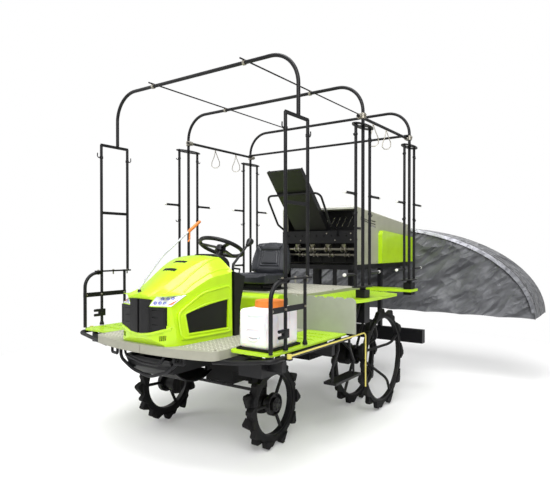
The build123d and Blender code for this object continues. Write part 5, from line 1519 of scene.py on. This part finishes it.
def make_camera(scene):
    """Camera solved from the photograph."""
    data = bpy.data.cameras.new("PhotoCamera")
    data.sensor_width = 36.0
    data.lens = CAMERA_LENS
    data.shift_x, data.shift_y = CAMERA_SHIFT
    data.clip_end = 200.0
    camera = bpy.data.objects.new("PhotoCamera", data)
    camera.location = CAMERA_PLACE
    camera.rotation_euler = (math.radians(90 + CAMERA_PITCH), 0.0, math.radians(CAMERA_YAW))
    scene.collection.objects.link(camera)
    scene.camera = camera


FLOOR_LEVEL, FLOOR_GLOW, FADE = 0.82, 0.16, (2.6, 4.6)


def pale_where_seen(name, level):
    """White far off where the camera looks at it, and a plain matt floor for the light."""
    shade = Shade(name)
    path = shade.node("LightPath")
    matt = shade.node("BsdfDiffuse", None, {"Color": (level, level, level, 1.0)})
    glow = shade.node("Emission", None, {"Color": (1.0, 1.0, 1.0, 1.0), "Strength": FLOOR_GLOW})
    white = shade.node("Emission", None, {"Color": (1.0, 1.0, 1.0, 1.0), "Strength": 1.0})
    both = shade.node("AddShader", None, {0: matt.outputs[0], 1: glow.outputs[0]})
    away = shade.node("VectorMath", {"operation": "LENGTH"}, {0: shade.place}).outputs["Value"]
    far = shade.node("MixShader", None, {0: shade.band(away, *FADE), 1: both.outputs[0], 2: white.outputs[0]})
    mixed = shade.node("MixShader", None, {0: path.outputs["Is Camera Ray"], 1: matt.outputs[0], 2: far.outputs[0]})
    shade.feed(shade.output.inputs["Surface"], mixed.outputs[0])
    return shade.material


def make_floor(size):
    """Pale floor plane."""
    mesh = bpy.data.meshes.new("Floor")
    half = size / 2
    mesh.from_pydata([(-half, -half, 0), (half, -half, 0), (half, half, 0), (-half, half, 0)], [], [(0, 1, 2, 3)])
    floor = bpy.data.objects.new("Floor", mesh)
    mesh.materials.append(pale_where_seen("PaleFloor", FLOOR_LEVEL))
    bpy.context.scene.collection.objects.link(floor)


LAMPS = (
    # name, place, size, share of the key lamp's power
    ("KeyLamp", (4.5, -6.5, 6.5), 4.5, 1.0),
    ("FillLamp", (-6.5, -5.0, 5.0), 5.0, 0.35),
    ("BackLamp", (-2.0, 7.5, 6.0), 5.0, 0.4),
    ("TopLamp", (0.5, -1.5, 8.0), 5.0, 0.8),
)


def make_lamps(power):
    """Large soft lamps aimed at the machine's middle."""
    middle = (CAD_LOW + CAD_HIGH) / 2
    for name, place, size, share in LAMPS:
        data = bpy.data.lights.new(name, "AREA")
        data.shape = "SQUARE"
        data.size = size
        data.energy = power * share
        lamp = bpy.data.objects.new(name, data)
        lamp.location = place
        lamp.rotation_euler = (middle - Vector(place)).to_track_quat("-Z", "Y").to_euler()
        bpy.context.scene.collection.objects.link(lamp)


def make_world(scene, level):
    """Even sky light, white where it is seen."""
    world = bpy.data.worlds.new("Studio")
    world.use_nodes = True
    tree = world.node_tree
    tree.nodes.clear()
    path = tree.nodes.new("ShaderNodeLightPath")
    plain, white = (tree.nodes.new("ShaderNodeBackground") for _ in range(2))
    plain.inputs["Strength"].default_value = level
    white.inputs["Strength"].default_value = 1.0
    for sky in (plain, white):
        sky.inputs["Color"].default_value = (1.0, 1.0, 1.0, 1.0)
    mixed = tree.nodes.new("ShaderNodeMixShader")
    output = tree.nodes.new("ShaderNodeOutputWorld")
    tree.links.new(path.outputs["Is Camera Ray"], mixed.inputs[0])
    tree.links.new(plain.outputs[0], mixed.inputs[1])
    tree.links.new(white.outputs[0], mixed.inputs[2])
    tree.links.new(mixed.outputs[0], output.inputs["Surface"])
    scene.world = world
    scene.view_settings.view_transform = "Standard"


class FinishFrame(bpy.types.Operator):
    """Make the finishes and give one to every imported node"""

    bl_idname = "broadcaster.finish_frame"
    bl_label = "Finish Frame"

    def execute(self, context):
        make_finishes()
        finish_frame()
        return {"FINISHED"}


class BroadcasterPanel(bpy.types.Panel):
    """Buttons for each step, in the order that main calls them"""

    bl_idname = "VIEW3D_PT_broadcaster"
    bl_label = "Seedling Broadcaster"
    bl_space_type = "VIEW_3D"
    bl_region_type = "UI"
    bl_category = "Broadcaster"

    def draw(self, context):
        column = self.layout.column()
        for step in STEPS:
            column.operator(step.bl_idname)


STEPS = (
    SetStage, FinishFrame, DressDecks, DressUnderside, DressHood, DressTank, DressRacks, DressWheels, DressUnit,
    DressCab, DressSeat, DressHoodCloth,
)
CLASSES = (StageSettings, *STEPS, BroadcasterPanel)


def register():
    """Register the classes and the settings."""
    for cls in CLASSES:
        bpy.utils.register_class(cls)
    bpy.types.Scene.broadcaster_stage = bpy.props.PointerProperty(type=StageSettings)


def unregister():
    """Remove the settings and the classes."""
    del bpy.types.Scene.broadcaster_stage
    for cls in reversed(CLASSES):
        bpy.utils.unregister_class(cls)


def main():
    """Register the classes and run every step in order."""
    register()
    for step in STEPS:
        group, action = step.bl_idname.split(".")
        getattr(getattr(bpy.ops, group), action)()


if __name__ == "__main__":
    main()
